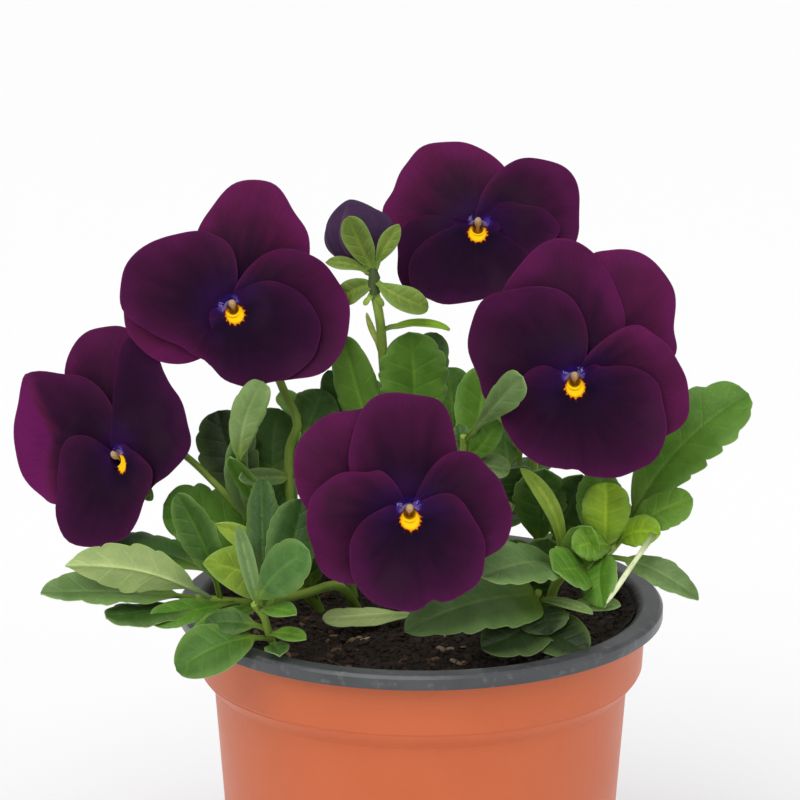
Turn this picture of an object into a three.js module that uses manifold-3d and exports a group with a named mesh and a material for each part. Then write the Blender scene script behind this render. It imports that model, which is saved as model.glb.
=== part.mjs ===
// A potted pansy in millimetres. Z is up, the pot stands on z = 0 with its axis on Z, and the blooms face -Y.
import * as THREE from "three";
import { mergeVertices } from "three/addons/utils/BufferGeometryUtils.js";
import Module from "manifold-3d";

const wasm = await Module();
wasm.setup();

// Driving dimensions.
const GAP = 0.3; // clear of any neighbour that only touches
const POT = { height: 100, rim: 60, mouth: 55.6, band: 55.8, step: 83.4, under: 51.4, foot: 45.8, wall: 1.2 };
const PETAL = { thick: 0.7, columns: 10, rings: 2, root: 2.3, spread: 2 };
const BLADE = { thick: 0.7, stalk: 0.7, stalkThick: 1, inside: 0.6 };
const THROAT = { outer: 3, bore: 1.7, front: 4.4, back: -2.2, sides: 6 };
const SEPAL = { count: 5, apart: 1.08, length: 11, wide: 4.4, root: 2.2, thick: 0.8 };

const vec = (x, y, z) => new THREE.Vector3(x, y, z);
const at = (origin, ...steps) => {
  const p = origin.clone();
  for (const [direction, length] of steps) p.addScaledVector(direction, length);
  return p;
};

// Points, three to a triangle, become one solid that faces out.
function solid(points) {
  const flat = new THREE.Float32BufferAttribute(points.flatMap((p) => p.toArray()), 3);
  const merged = mergeVertices(new THREE.BufferGeometry().setAttribute("position", flat), 1e-3);
  const corners = merged.index.array;
  const kept = [];
  for (let i = 0; i < corners.length; i += 3) {
    const [a, b, c] = corners.slice(i, i + 3);
    if (a !== b && b !== c && a !== c) kept.push(a, b, c);
  }
  const build = (triangles) =>
    new wasm.Manifold(
      new wasm.Mesh({
        numProp: 3,
        vertProperties: merged.attributes.position.array,
        triVerts: new Uint32Array(triangles),
      }),
    );
  const made = build(kept);
  return made.volume() > 0 ? made : build(kept.reverse());
}

const join = (solids) => solids.reduce((all, next) => all.add(next));

// A thin sheet between two faces, each given as the same rows of points.
function sheet(front, back) {
  const out = [];
  const quad = (a, b, c, d) => out.push(a, b, c, a, c, d);
  const rows = front.length - 1;
  const columns = front[0].length - 1;
  for (let i = 0; i < rows; i++)
    for (let j = 0; j < columns; j++) {
      quad(front[i][j], front[i + 1][j], front[i + 1][j + 1], front[i][j + 1]);
      quad(back[i][j], back[i][j + 1], back[i + 1][j + 1], back[i + 1][j]);
    }
  for (let i = 0; i < rows; i++) {
    quad(front[i + 1][0], front[i][0], back[i][0], back[i + 1][0]);
    quad(front[i][columns], front[i + 1][columns], back[i + 1][columns], back[i][columns]);
  }
  for (let j = 0; j < columns; j++) {
    quad(front[0][j], front[0][j + 1], back[0][j + 1], back[0][j]);
    quad(front[rows][j + 1], front[rows][j], back[rows][j], back[rows][j + 1]);
  }
  return solid(out);
}

// A closed stick of a few sides along a smooth path, tapering from one radius to the other.
// It can start early, a little behind the path's first point.
function rod(curve, from, to, sides = 6, steps = 6, early = 0) {
  const frames = curve.computeFrenetFrames(steps);
  const middles = Array.from({ length: steps + 1 }, (_, i) => curve.getPointAt(i / steps));
  middles[0].addScaledVector(frames.tangents[0], -early);
  const rings = [];
  for (let i = 0; i <= steps; i++) {
    const centre = middles[i];
    const radius = from + ((to - from) * i) / steps;
    rings.push(
      Array.from({ length: sides }, (_, k) => {
        const turn = (2 * Math.PI * k) / sides;
        return at(
          centre,
          [frames.normals[i], radius * Math.cos(turn)],
          [frames.binormals[i], radius * Math.sin(turn)],
        );
      }),
    );
  }
  const out = [];
  const ends = [middles[0], middles[steps]];
  for (let k = 0; k < sides; k++) {
    const next = (k + 1) % sides;
    for (let i = 0; i < steps; i++) {
      out.push(rings[i][k], rings[i][next], rings[i + 1][next]);
      out.push(rings[i][k], rings[i + 1][next], rings[i + 1][k]);
    }
    out.push(ends[0], rings[0][next], rings[0][k], ends[1], rings[steps][k], rings[steps][next]);
  }
  return solid(out);
}

const path = (points) => new THREE.CatmullRomCurve3(points.map((p) => (p.isVector3 ? p : vec(...p))));
const line = (a, b) => new THREE.LineCurve3(a, b);

// A body turned on Z from a closed profile of [radius, height] points.
function turned(profile, segments) {
  const geometry = new THREE.LatheGeometry(
    profile.map(([r, z]) => new THREE.Vector2(r, z)),
    segments,
  )
    .rotateX(Math.PI / 2)
    .toNonIndexed();
  const p = geometry.getAttribute("position");
  return Array.from({ length: p.count }, (_, i) => new THREE.Vector3().fromBufferAttribute(p, i));
}

const part = new THREE.Group();
function node(name, made, color, roughness) {
  const { vertProperties, triVerts } = made.simplify(0.02).getMesh();
  const geometry = new THREE.BufferGeometry()
    .setAttribute("position", new THREE.BufferAttribute(vertProperties, 3))
    .setIndex(new THREE.BufferAttribute(triVerts, 1));
  const mesh = new THREE.Mesh(geometry, new THREE.MeshStandardMaterial({ color, roughness }));
  mesh.name = name;
  part.add(mesh);
}

// The pot: a thin plastic wall with a turned-down lip, a stepped band and a foot ring and pad on the ground,
// with drain holes in the raised groove between them.
const { rim, mouth, band, step, under, foot, wall, height } = POT;
const potProfile = [
  [0, 0], [31, 0], [33, 2.4], [41, 2.4], [42.6, 0], [foot, 0],
  [under, step - 4.2], [53.4, step - 2], [54.7, step - 0.3], [55.1, step + 0.6], [band, 96.6], [band + 0.2, 98.7],
  [rim - 1.3, 98.7], [rim - 1.3, 96.4], [rim, 96.6], [rim, 99.2], [rim - 0.8, 100],
  [mouth, height], [mouth - 1.6, 99.2], [53, 96.6], [under, step],
  [under - wall, step - 4], [44, 6], [42.6, 3.8], [33, 3.8], [30.6, 1.4], [0, 1.4], [0, 0],
];
let pot = solid(turned(potProfile, 32));
for (let k = 0; k < 8; k++) {
  const turn = ((k + 0.5) * Math.PI) / 4;
  const centre = vec(37 * Math.cos(turn), 37 * Math.sin(turn), 1);
  pot = pot.subtract(rod(line(centre, at(centre, [vec(0, 0, 1), 5])), 3, 3, 6, 1));
}
node("pot", pot, 0xcf6e48, 0.45);

// Leafy stems. The first point of a stem is its foot in the soil. A leaf gives its place along the stem,
// its tip, its width, which way its upper face looks, how far it bows along that way and sideways,
// and its bare stalk's share.
const SHOOTS = {
  left: {
    stem: [[-13, 0, 88], [-17, -5, 101], [-21, -13, 107], [-29, -20, 107], [-40, -23, 106], [-54, -26, 108]],
    radii: [1.8, 1.3],
    leaves: [
      [0.98, [-90, -34, 112], 17, [-0.1, -0.25, 0.97], 1, 0, 0.14],
      [0.93, [-84, -33, 119], 12, [-0.15, 0.92, 0.35], -3, -6, 0.12],
      [0.88, [-74, -40, 108], 12, [0, -0.2, 0.97], 0, 0, 0.2],
      [0.82, [-64, -38, 106], 8, [-0.2, -0.7, 0.7], 1, 0, 0.15],
      [0.7, [-54, -37, 103], 5, [-0.2, -0.8, 0.5], 1, 0, 0.15],
      [0.76, [-79, -3, 113], 15, [0, -0.3, 0.95], 1, 0, 0.3],
      [0.9, [-58, -26, 134], 10, [-0.2, -0.95, 0.1], 2, 2, 0.2],
      [0.6, [-54, -34, 115], 12, [0.1, -0.6, 0.8], 1, 0, 0.1],
      [0.54, [-48, -24, 126], 6, [0.4, -0.85, 0.2], 2, 2, 0.2],
    ],
  },
  crown_left: {
    stem: [[-22, 4, 88], [-30, 0, 110], [-32, -2, 126], [-32, -2, 139], [-30, -3, 145], [-33, 2, 151],
      [-38, 5, 162], [-43, 6, 171]],
    radii: [1.8, 1.3],
    leaves: [
      [0.14, [-63, -4, 125], 17, [-0.3, -0.75, 0.6], 2, 3, 0.25],
      [0.26, [-38, -17, 159], 10, [-0.3, -0.95, 0.1], 3, -10, 0.42],
      [0.21, [-46, -16, 140], 6, [-0.4, -0.9, 0.1], 0, 0, 0.3],
      [0.42, [-45, -10, 133], 3, [0.1, -0.8, 0.6], 1, 0, 0.3],
      [0.31, [-50, 7, 146], 16, [-0.3, -0.85, 0.4], 3, -3, 0.35],
      [0.36, [-35, 9, 146], 13, [0, -0.98, 0.2], 1, -3, 0.4],
      [0.5, [-24, 8, 151], 12, [0.1, -0.8, 0.6], 2, 0, 0.4],
      [0.1, [-49, 2, 119], 12, [-0.4, -0.8, 0.4], 2, 0, 0.3],
    ],
  },
  bud: {
    stem: [[-8, 10, 88], [-7, 8, 107], [-7, 3, 136], [-9, -1, 158], [-10, -6, 172], [-11.5, -7, 180]],
    radii: [2, 1.5],
    leaves: [
      [0.42, [-3, -3, 168], 21, [0, -0.95, 0.3], 2, 0, 0.3],
      [0.48, [4, 10, 165], 11, [0.2, -0.6, 0.8], 4, 0, 0.3],
      [0.54, [-17, 14, 161], 5, [-0.1, -0.5, 0.85], 1, 0, 0.3],
      [0.37, [-19, 2, 166], 11, [-0.2, -0.95, 0.2], 2, 0, 0.35],
      [0.32, [-23, 12, 155], 10, [-0.2, -0.9, 0.4], 2, 0, 0.35],
      [0.88, [7, -8, 170], 3, [-0.1, -0.4, 0.9], 2, 0, 0.1],
      [0.99, [-17, -3, 196], 6, [-0.2, -0.9, 0.5], 1, 0, 0],
      [0.99, [-5, -3, 194], 5, [0.2, -0.9, 0.5], 1, 0, 0],
      [0.97, [-22, -5, 183], 5, [-0.1, -0.8, 0.6], 1, 0, 0],
      [0.95, [-19, -6, 175], 5, [-0.2, -0.9, 0.3], 1, 0, 0],
      [0.97, [2, -8, 177], 7, [0.1, -0.8, 0.6], 2, 0, 0],
    ],
  },
  centre: {
    stem: [[4, -2, 88], [5, -8, 109], [7, -16, 130], [10, -20, 142], [10, -22, 147]],
    radii: [1.7, 1.2],
    leaves: [
      [0.6, [15, -4, 160], 13, [0.1, -0.9, 0.4], 2, 2, 0.3],
      [0.97, [23, -37, 165], 10, [-0.3, -0.9, 0.3], 1, 0, 0.12],
      [0.92, [9, -18, 149], 4, [0, -0.9, 0.4], 1, 0, 0],
      [0.88, [18, -26, 152], 6, [0.1, -0.9, 0.4], 1, 1, 0.15],
      [0.8, [19, -20, 147], 4, [0.3, -0.9, 0.2], 1, -2, 0],
      [0.84, [21, -24, 139], 7, [0.2, -0.7, 0.7], 2, 0, 0.15],
      [0.15, [-24, -15, 99], 8, [0, 0.3, -0.95], 0, 0, 0.2],
    ],
  },
  crown_back: {
    stem: [[26, 6, 88], [30, 4, 103], [28, 2, 124], [28, 4, 132], [26, 8, 148], [22, 14, 167], [19, 22, 178],
      [15.5, 25, 185]],
    radii: [1.7, 1.3],
    leaves: [
      [0.17, [30, -8, 135], 14, [-0.1, -0.95, 0.2], 1, -1, 0.3],
      [0.21, [41, -6, 134], 14, [0.1, -0.95, 0.2], 1, 1, 0.3],
      [0.1, [21, -8, 117], 10, [0, -0.9, 0.4], 2, 0, 0.3],
      [0.13, [43, -2, 116], 11, [0.1, -0.9, 0.4], 2, 0, 0.3],
    ],
  },
  right: {
    stem: [[30, -12, 88], [33, -18, 110], [39, -20, 114], [45, -18, 117], [49, -16, 121]],
    radii: [1.9, 1.4],
    leaves: [
      [0.98, [79, -8, 154], 20, [-0.5, -0.8, 0.3], 3, -3, 0.12],
      [0.9, [65, -20, 131], 11, [-0.1, -0.7, 0.7], 2, -1, 0.15],
      [0.83, [66, -30, 109], 9, [0.1, -0.5, 0.85], 3, 0, 0.25],
      [0.85, [60, -4, 126], 9, [0.1, -0.8, 0.6], 1, 0, 0.2],
      [0.78, [44, -8, 135], 12, [0, -0.9, 0.4], 1, 0, 0.2],
      [0.97, [56, -24, 123], 10, [-0.4, -0.7, 0.6], 2, 0, 0.1],
      [0.88, [43, -36, 109], 11, [-0.6, -0.6, 0.5], 3, 0, 0.1],
      [0.7, [33, -38, 120], 11, [0, -0.7, 0.7], 2, 0, 0.1],
      [0.6, [14, -50, 121], 13, [0, -0.65, 0.75], 4, 0, 0.15],
    ],
  },
  front_right: {
    stem: [[22, -22, 88], [27, -24, 103], [28, -27, 110]],
    radii: [1.5, 1.2],
    leaves: [
      [0.95, [-4, -42, 105], 21, [0, -0.6, 0.8], 4, 0, 0.1],
      [0.82, [30, -38, 103], 12, [0, -0.7, 0.7], 2, 0, 0.2],
      [0.7, [14, -42, 101], 14, [0, -0.75, 0.65], 3, -4, 0.2],
      [0.9, [40, -40, 109], 3, [0.1, -0.7, 0.7], 1, 0, 0],
      [0.8, [47, -34, 109], 4, [0.1, -0.8, 0.6], 1, 0, 0.4],
    ],
  },
  front_left: {
    stem: [[-32, -30, 88], [-36, -40, 104], [-37, -43, 109], [-39, -46, 113]],
    radii: [1.5, 1.2],
    leaves: [
      [0.97, [-28, -59, 132], 12, [-0.1, -0.85, 0.5], 2, -1, 0.15],
      [0.92, [-29, -56, 114], 5, [0, -0.7, 0.7], 1, 0, 0.15],
      [0.62, [-27, -50, 106], 4, [0, -0.7, 0.7], 1, 0, 0],
      [0.5, [-33, -50, 102], 6, [0, -0.75, 0.65], 1, 0, 0.3],
      [0.57, [-57, -50, 98], 15, [-0.2, -0.65, 0.75], 4, 0, 0.15],
      [0.68, [-51, -40, 106], 8, [0, -0.6, 0.8], 2, 0, 0.15],
      [0.88, [-43, -36, 129], 4, [0, -0.95, 0.2], 1, 0, 0],
      [0.74, [-38, -24, 137], 8, [-0.1, -0.95, 0.2], 1, 0, 0.25],
      [0.81, [-28, -34, 135], 13, [0.1, -0.95, 0.2], 1, 1, 0.2],
    ],
  },
};

// The back of the plant: shoots spread round behind the middle, their leaves set by a seeded draw.
let seed = 7;
const draw = () => (seed = (seed * 16807) % 2147483647) / 2147483647;
for (let k = 0; k < 4; k++) {
  const way = (42 + 33 * k) * (Math.PI / 180);
  const out = (r, turn = way) => [r * Math.cos(turn), r * Math.sin(turn)];
  const stem = [[...out(20), 88], [...out(24), 104], [...out(31), 118], [...out(36), 126]];
  const leaves = [-48, 42, -8, 56, 20].map((swing, i) => {
    const turn = way + (swing + 12 * draw() - 6) * (Math.PI / 180);
    const rise = [0.1, 0.3, 0.55, 0.8, 1.1][i] + 0.15 * draw();
    const reach = 35 - 2 * i + 4 * draw();
    const [fx, fy] = out(24 + 2 * i);
    const [dx, dy] = out(reach * Math.cos(rise), turn);
    const tip = [fx + dx, fy + dy, 104 + 4 * i + reach * Math.sin(rise)];
    const [nx, ny] = out(-Math.sin(rise), turn);
    return [0.36 + 0.14 * i, tip, 19 - 1.5 * i, [nx, ny, Math.cos(rise)], 4, 0, 0.28];
  });
  SHOOTS["back_" + (k + 1)] = { stem, radii: [1.8, 1.3], leaves };
}

// A blade with its stalk: rows of left edge, midrib and right edge along a bowed line. The edges of a
// broad one are scalloped and raised, and a narrow one is flat.
function blade(from, to, wide, face, { bow, side, bare, lobes }) {
  const fold = lobes ? 0.18 : 0;
  const widest = 0.6;
  const along = at(to, [from, -1]).normalize();
  const across = along.clone().cross(face).normalize();
  const up = across.clone().cross(along);
  const middle = at(from, [at(to, [from, -1]), 0.5], [up, 2 * bow], [across, 2 * side]);
  const curve = new THREE.QuadraticBezierCurve3(from, middle, to);
  const count = lobes ? 2 * lobes : bare ? 3 : 2;
  const power = (0.5 * widest) / (1 - widest);
  const shape = (s) => (s / widest) ** power * ((1 - s) / (1 - widest)) ** 0.5;
  const front = [];
  const back = [];
  const row = (t, half, rise, thick) => {
    const ahead = curve.getTangent(t);
    const right = ahead.clone().cross(up).normalize();
    const out = right.clone().cross(ahead);
    const centre = curve.getPoint(t);
    const offsets = lobes ? [-half, 0, half] : [-half, half];
    const points = offsets.map((x) => at(centre, [right, x], [out, x ? rise : 0]));
    front.push(points.map((p) => at(p, [out, thick / 2])));
    back.push(points.map((p) => at(p, [out, -thick / 2])));
  };
  row(0, BLADE.stalk, 0, BLADE.stalkThick);
  if (bare) row(bare, BLADE.stalk, 0, BLADE.stalkThick);
  for (let k = 1; k <= count; k++) {
    const s = k / count;
    const notch = lobes && k % 2 === 0 ? 0.86 : 1;
    const half = Math.max(0.6, (wide / 2) * notch * (k < count ? shape(s) : 0.3));
    row(bare + (1 - bare) * s, half, fold * half, BLADE.thick);
  }
  return sheet(front, back);
}

// One petal: a fan from the throat, its edge an oval that reaches past the throat by its lap.
function petal(frame, { turn, length, wide, lap = 2, lift, notch = 0, cup = 0, columns = PETAL.columns }) {
  const middle = (length - lap) / 2;
  const reach = (length + lap) / 2;
  const rows = (side) =>
    Array.from({ length: PETAL.rings + 1 }, (_, i) =>
      Array.from({ length: columns + 1 }, (_, j) => {
        const out = i / PETAL.rings;
        const swing = PETAL.spread * ((2 * j) / columns - 1);
        const a = Math.sin(swing) ** 2 / (wide / 2) ** 2 + Math.cos(swing) ** 2 / reach ** 2;
        const b = (middle * Math.cos(swing)) / reach ** 2;
        const edge = (b + Math.sqrt(Math.max(0, b * b - a * (middle ** 2 / reach ** 2 - 1)))) / a;
        const inner = Math.min(PETAL.root, 0.9 * edge);
        const radius = inner + out * (edge * (1 - notch * Math.exp(-((swing / 0.12) ** 2))) - inner);
        const angle = turn * (Math.PI / 180) + swing;
        const height = lift + (cup * radius) / length + (side * PETAL.thick) / 2;
        return frame(radius * Math.sin(angle), radius * Math.cos(angle), height);
      }),
    );
  return sheet(rows(1), rows(-1));
}

// A bloom's own frame: x to the right and y up as one faces it, z out of its face.
function facing(centre, yaw, lean) {
  const [y, l] = [yaw * (Math.PI / 180), lean * (Math.PI / 180)];
  const out = vec(Math.sin(y) * Math.cos(l), -Math.cos(y) * Math.cos(l), Math.sin(l));
  const right = vec(0, 0, 1).cross(out).normalize();
  const up = out.clone().cross(right);
  return (x, h, z) => at(vec(...centre), [right, x], [up, h], [out, z]);
}

// Blooms. Each petal gives its turn clockwise from upright, its length, width, lap and lift off the
// bloom's back. The first two petals lie at the back, the next two in front of them, and the broad one
// with the spur last.
const BLOOMS = {
  left: {
    centre: [-73, 0, 135], yaw: -32, lean: 10, shoot: "crown_left",
    stalk: [[-31.5, -1, 118], [-42, -4, 122], [-49, -4, 129], [-57, 2, 135], [-63, 8, 137]],
    petals: [
      { turn: -22, length: 34, wide: 33, lift: 0.4 },
      { turn: 18, length: 27, wide: 28, lift: 1.3 },
      { turn: -74, length: 36, wide: 34, lift: 2.2, },
      { turn: 62, length: 24, wide: 24, lift: 3.1 },
      { turn: 206, length: 22, wide: 29, lap: 6, lift: 4, notch: 0.06 },
    ],
  },
  crown_left: {
    centre: [-45, -5, 174], yaw: -4, lean: 10, shoot: "crown_left", stalk: [],
    petals: [
      { turn: 14, length: 33, wide: 32, lift: 0.4 },
      { turn: -86, length: 28, wide: 33, lift: 1.3 },
      { turn: -92, length: 21, wide: 26, lift: 2.2 },
      { turn: 99, length: 29, wide: 32, lift: 3.1 },
      { turn: 147, length: 22, wide: 28, lap: 5, lift: 4, notch: 0.06 },
    ],
  },
  crown_back: {
    centre: [14, 15, 189], yaw: 0, lean: 28, shoot: "crown_back", stalk: [],
    petals: [
      { turn: -41, length: 27, wide: 34, lift: 0.4 },
      { turn: 62, length: 28, wide: 29, lift: 1.3 },
      { turn: -102, length: 24, wide: 32, lift: 2.2 },
      { turn: 88, length: 22, wide: 16, lift: 3.1 },
      { turn: 186, length: 21, wide: 38, lap: 5, lift: 4, notch: 0.08 },
    ],
  },
  right: {
    centre: [36, -25, 161], yaw: -4, lean: 10, shoot: "right",
    stalk: [[48, -16, 119], [52, -13, 128], [53, -11, 136], [50, -9, 146], [43, -10, 157], [39, -13, 163]],
    petals: [
      { turn: 27, length: 35, wide: 32, lift: 0.4 },
      { turn: -14, length: 36, wide: 32, lift: 1.3 },
      { turn: -56, length: 29, wide: 30, lift: 2.2 },
      { turn: 106, length: 28, wide: 35, lift: 3.1 },
      { turn: 170, length: 24, wide: 40, lap: 7, lift: 4, notch: 0.1 },
    ],
  },
  front: {
    centre: [-3, -50, 136], yaw: 2, lean: 10, shoot: "centre",
    stalk: [[6, -12, 120], [4, -27, 124], [0, -37, 130], [-2, -42, 137]],
    petals: [
      { turn: -50, length: 32, wide: 31, lift: 0.4 },
      { turn: 0, length: 30, wide: 28, lift: 1.3 },
      { turn: -92, length: 27, wide: 35, lift: 2.2 },
      { turn: 77, length: 25, wide: 26, lift: 3.1 },
      { turn: 173, length: 23, wide: 34, lap: 5, lift: 4, notch: 0.12 },
    ],
  },
  bud: {
    centre: [-13, -2, 186], yaw: -166, lean: 30, shoot: "bud", closed: true,
    petals: [20, 110, 200, 290].map((turn, k) => (
      { turn, length: 10, wide: 14, lift: 0.5 * k, cup: 7, columns: 6 }
    )),
  },
};

// A bloom's green cup: pointed sepals round the top of its stalk, parted where the spur passes.
function calyx(frame, turn) {
  const { count, apart, length, wide, root, thick } = SEPAL;
  const rim = [];
  const add = (angle, r, w) => {
    const [sine, cosine] = [Math.sin(angle), Math.cos(angle)];
    rim.push([r * sine + w * cosine, r * cosine - w * sine, -3.3 - 0.2 * r]);
  };
  for (let k = 0; k < count; k++) {
    const away = turn + Math.PI + (k - 2) * apart;
    add(away - apart / 2, root, 0);
    add(away, length / 2, -wide / 2);
    add(away, length, 0);
    add(away, length / 2, wide / 2);
    if (k === count - 1) add(away + apart / 2, root, 0);
  }
  const out = [];
  rim.forEach(([x, y, z], i) => {
    const [u, v, w] = rim[(i + 1) % rim.length];
    const [a, b] = [thick / 2, -thick / 2].map((d) => [
      frame(0, 0, d - 3.3), frame(x, y, z + d), frame(u, v, w + d),
    ]);
    out.push(a[0], a[1], a[2], b[0], b[2], b[1], a[1], b[1], b[2], a[1], b[2], a[2]);
  });
  return solid(out);
}

// The soil fills the pot up to a few millimetres under the rim. Its top is uneven.
const soilProfile = [
  [0, 1.4 + GAP], [30.4, 1.4 + GAP], [32.8, 3.8 + GAP], [42.3, 3.8 + GAP], [43.6, 6.2],
  [49.8, step - 4], [52.5, 96.8], [50.4, 96.2], [46.5, 94.6], [25, 94.9], [0, 95.2],
];
let soil = solid(
  turned(soilProfile, 28).map((p) => {
    const away = Math.hypot(p.x, p.y);
    const swell = 0.7 * Math.sin(p.x / 5 + 1) * Math.cos(p.y / 6) + 0.4 * Math.sin(p.x / 2.3 - p.y / 3.1);
    if (p.z > 94) p.z += swell;
    return away < 1e-6 ? vec(0, 0, p.z) : p;
  }),
);

// Green bodies: each is a stem with its leaves, standing in a plain hole in the soil.
const green = {};
for (const [name, { stem, radii, leaves }] of Object.entries(SHOOTS)) {
  const curve = path(stem);
  const steps = stem.length + 1;
  soil = soil.subtract(rod(curve, radii[0] + 2 * GAP, radii[1] + 2 * GAP, 5, steps, 1));
  green[name] = [rod(curve, radii[0], radii[1], 5, steps)];
  for (const [place, tip, wide, face, bow, side, bare] of leaves) {
    const root = curve.getPointAt(place);
    const from = at(root, [at(vec(...tip), [root, -1]).normalize(), BLADE.inside]);
    const lobes = name.startsWith("back") ? 2 : wide > 16 ? 4 : wide >= 7 ? 3 : 0;
    green[name].push(blade(from, vec(...tip), wide, vec(...face), { bow, side, bare, lobes }));
  }
}

// Blooms: petals fused round a bored throat with a spur behind it, a pistil in the bore, and a stalk.
const flowers = {};
const pistils = {};
for (const [name, bloom] of Object.entries(BLOOMS)) {
  const frame = facing(bloom.centre, bloom.yaw, bloom.lean);
  const { outer, bore, front, back, sides } = THROAT;
  const throat = rod(line(frame(0, 0, back), frame(0, 0, front)), outer, outer, sides, 1);
  flowers[name] = join([...bloom.petals.map((p) => petal(frame, p)), throat]);
  const body = green[bloom.shoot];
  if (bloom.closed) {
    body.push(rod(line(frame(0, 0, -5), frame(0, 0, back - GAP)), 1.4, 2, 6, 1));
    continue;
  }
  const turn = bloom.petals[4].turn * (Math.PI / 180);
  const below = (r, z) => frame(r * Math.sin(turn), r * Math.cos(turn), z);
  flowers[name] = flowers[name]
    .add(rod(path([below(2, -0.5), below(3.8, -3), below(4.4, -7)]), 1, 0.9, 5, 2))
    .subtract(rod(line(frame(0, 0, back + 1), frame(0, 0, 9)), bore, bore, sides, 1));
  pistils[name] = rod(line(frame(0, 0, back + 1 + GAP), frame(0, 0, 4.6)), 0.8, 1.1, 6, 1);
  const start = bloom.stalk.length ? bloom.stalk : [SHOOTS[bloom.shoot].stem.at(-1)];
  const stalk = path([...start, frame(0, 2, -10), frame(0, 0.5, -6), frame(0, 0, -3.3)]);
  body.push(rod(stalk, 1.2, 1.2, 5, bloom.stalk.length ? 8 : 4), calyx(frame, turn));
}

for (const [name, solids] of Object.entries(green)) node("shoot_" + name, join(solids), 0x5f9440, 0.6);
for (const [name, made] of Object.entries(flowers)) node("petals_" + name, made, 0x3a1436, 0.55);
for (const [name, made] of Object.entries(pistils)) node("pistil_" + name, made, 0xb98a5c, 0.6);
node("soil", soil, 0x2a1f1a, 0.95);

export default part;
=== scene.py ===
"""A potted pansy: a plastic pot of compost, leafy shoots round a crown, five open blooms and a bud.

Sizes are in millimetres unless a name says otherwise. The plant faces -Y, and the pot stands on z = 0.
"""

import math

import bpy
import numpy as np
from mathutils import Matrix, Vector


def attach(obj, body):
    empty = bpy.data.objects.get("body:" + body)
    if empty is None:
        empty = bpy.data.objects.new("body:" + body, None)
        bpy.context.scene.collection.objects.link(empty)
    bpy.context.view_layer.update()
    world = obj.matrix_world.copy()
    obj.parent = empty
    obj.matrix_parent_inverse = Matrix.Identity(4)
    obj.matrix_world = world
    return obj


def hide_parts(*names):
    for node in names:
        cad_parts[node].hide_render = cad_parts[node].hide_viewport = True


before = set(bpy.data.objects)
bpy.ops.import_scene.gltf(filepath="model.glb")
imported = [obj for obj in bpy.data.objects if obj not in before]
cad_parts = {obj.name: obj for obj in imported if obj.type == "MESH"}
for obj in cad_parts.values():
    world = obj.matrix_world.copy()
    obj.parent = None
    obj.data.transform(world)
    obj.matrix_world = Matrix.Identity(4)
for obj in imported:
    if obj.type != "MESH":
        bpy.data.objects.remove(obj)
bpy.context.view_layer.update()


# The pot is one thin injection moulding in two plastic layers: terracotta outside, dark grey inside and
# over the turned-down lip. A wider band stiffens it between the lip and a rounded step, and it stands on a
# foot ring, with drain holes in the raised groove of its floor.
MM = 0.001


def both_ways(operation):
    """An operator between a wire and a value, and its reflected form."""
    return (
        lambda wire, value: wire.board.sum(operation, wire, value),
        lambda wire, value: wire.board.sum(operation, value, wire),
    )


class Wire:
    """An output socket that takes part in plain sums: each operator adds its Math node."""

    def __init__(self, board, socket):
        self.board, self.socket = board, socket

    __add__, __radd__ = both_ways("ADD")
    __sub__, __rsub__ = both_ways("SUBTRACT")
    __mul__, __rmul__ = both_ways("MULTIPLY")
    __truediv__, __rtruediv__ = both_ways("DIVIDE")
    __pow__, __rpow__ = both_ways("POWER")

    def __neg__(self):
        return self * -1

    def __abs__(self):
        return self.board.sum("ABSOLUTE", self)

    def other(self, name):
        """Another output of the same node."""
        return Wire(self.board, self.board.socket(self.socket.node.outputs, name))

    def into(self, kind, sockets=None, out=0, **settings):
        """A node that takes this wire in its first socket."""
        return self.board.node(kind, {0: self, **(sockets or {})}, out, **settings)

    def parts(self):
        split = self.into("SeparateXYZ")
        return split, split.other("Y"), split.other("Z")


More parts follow.
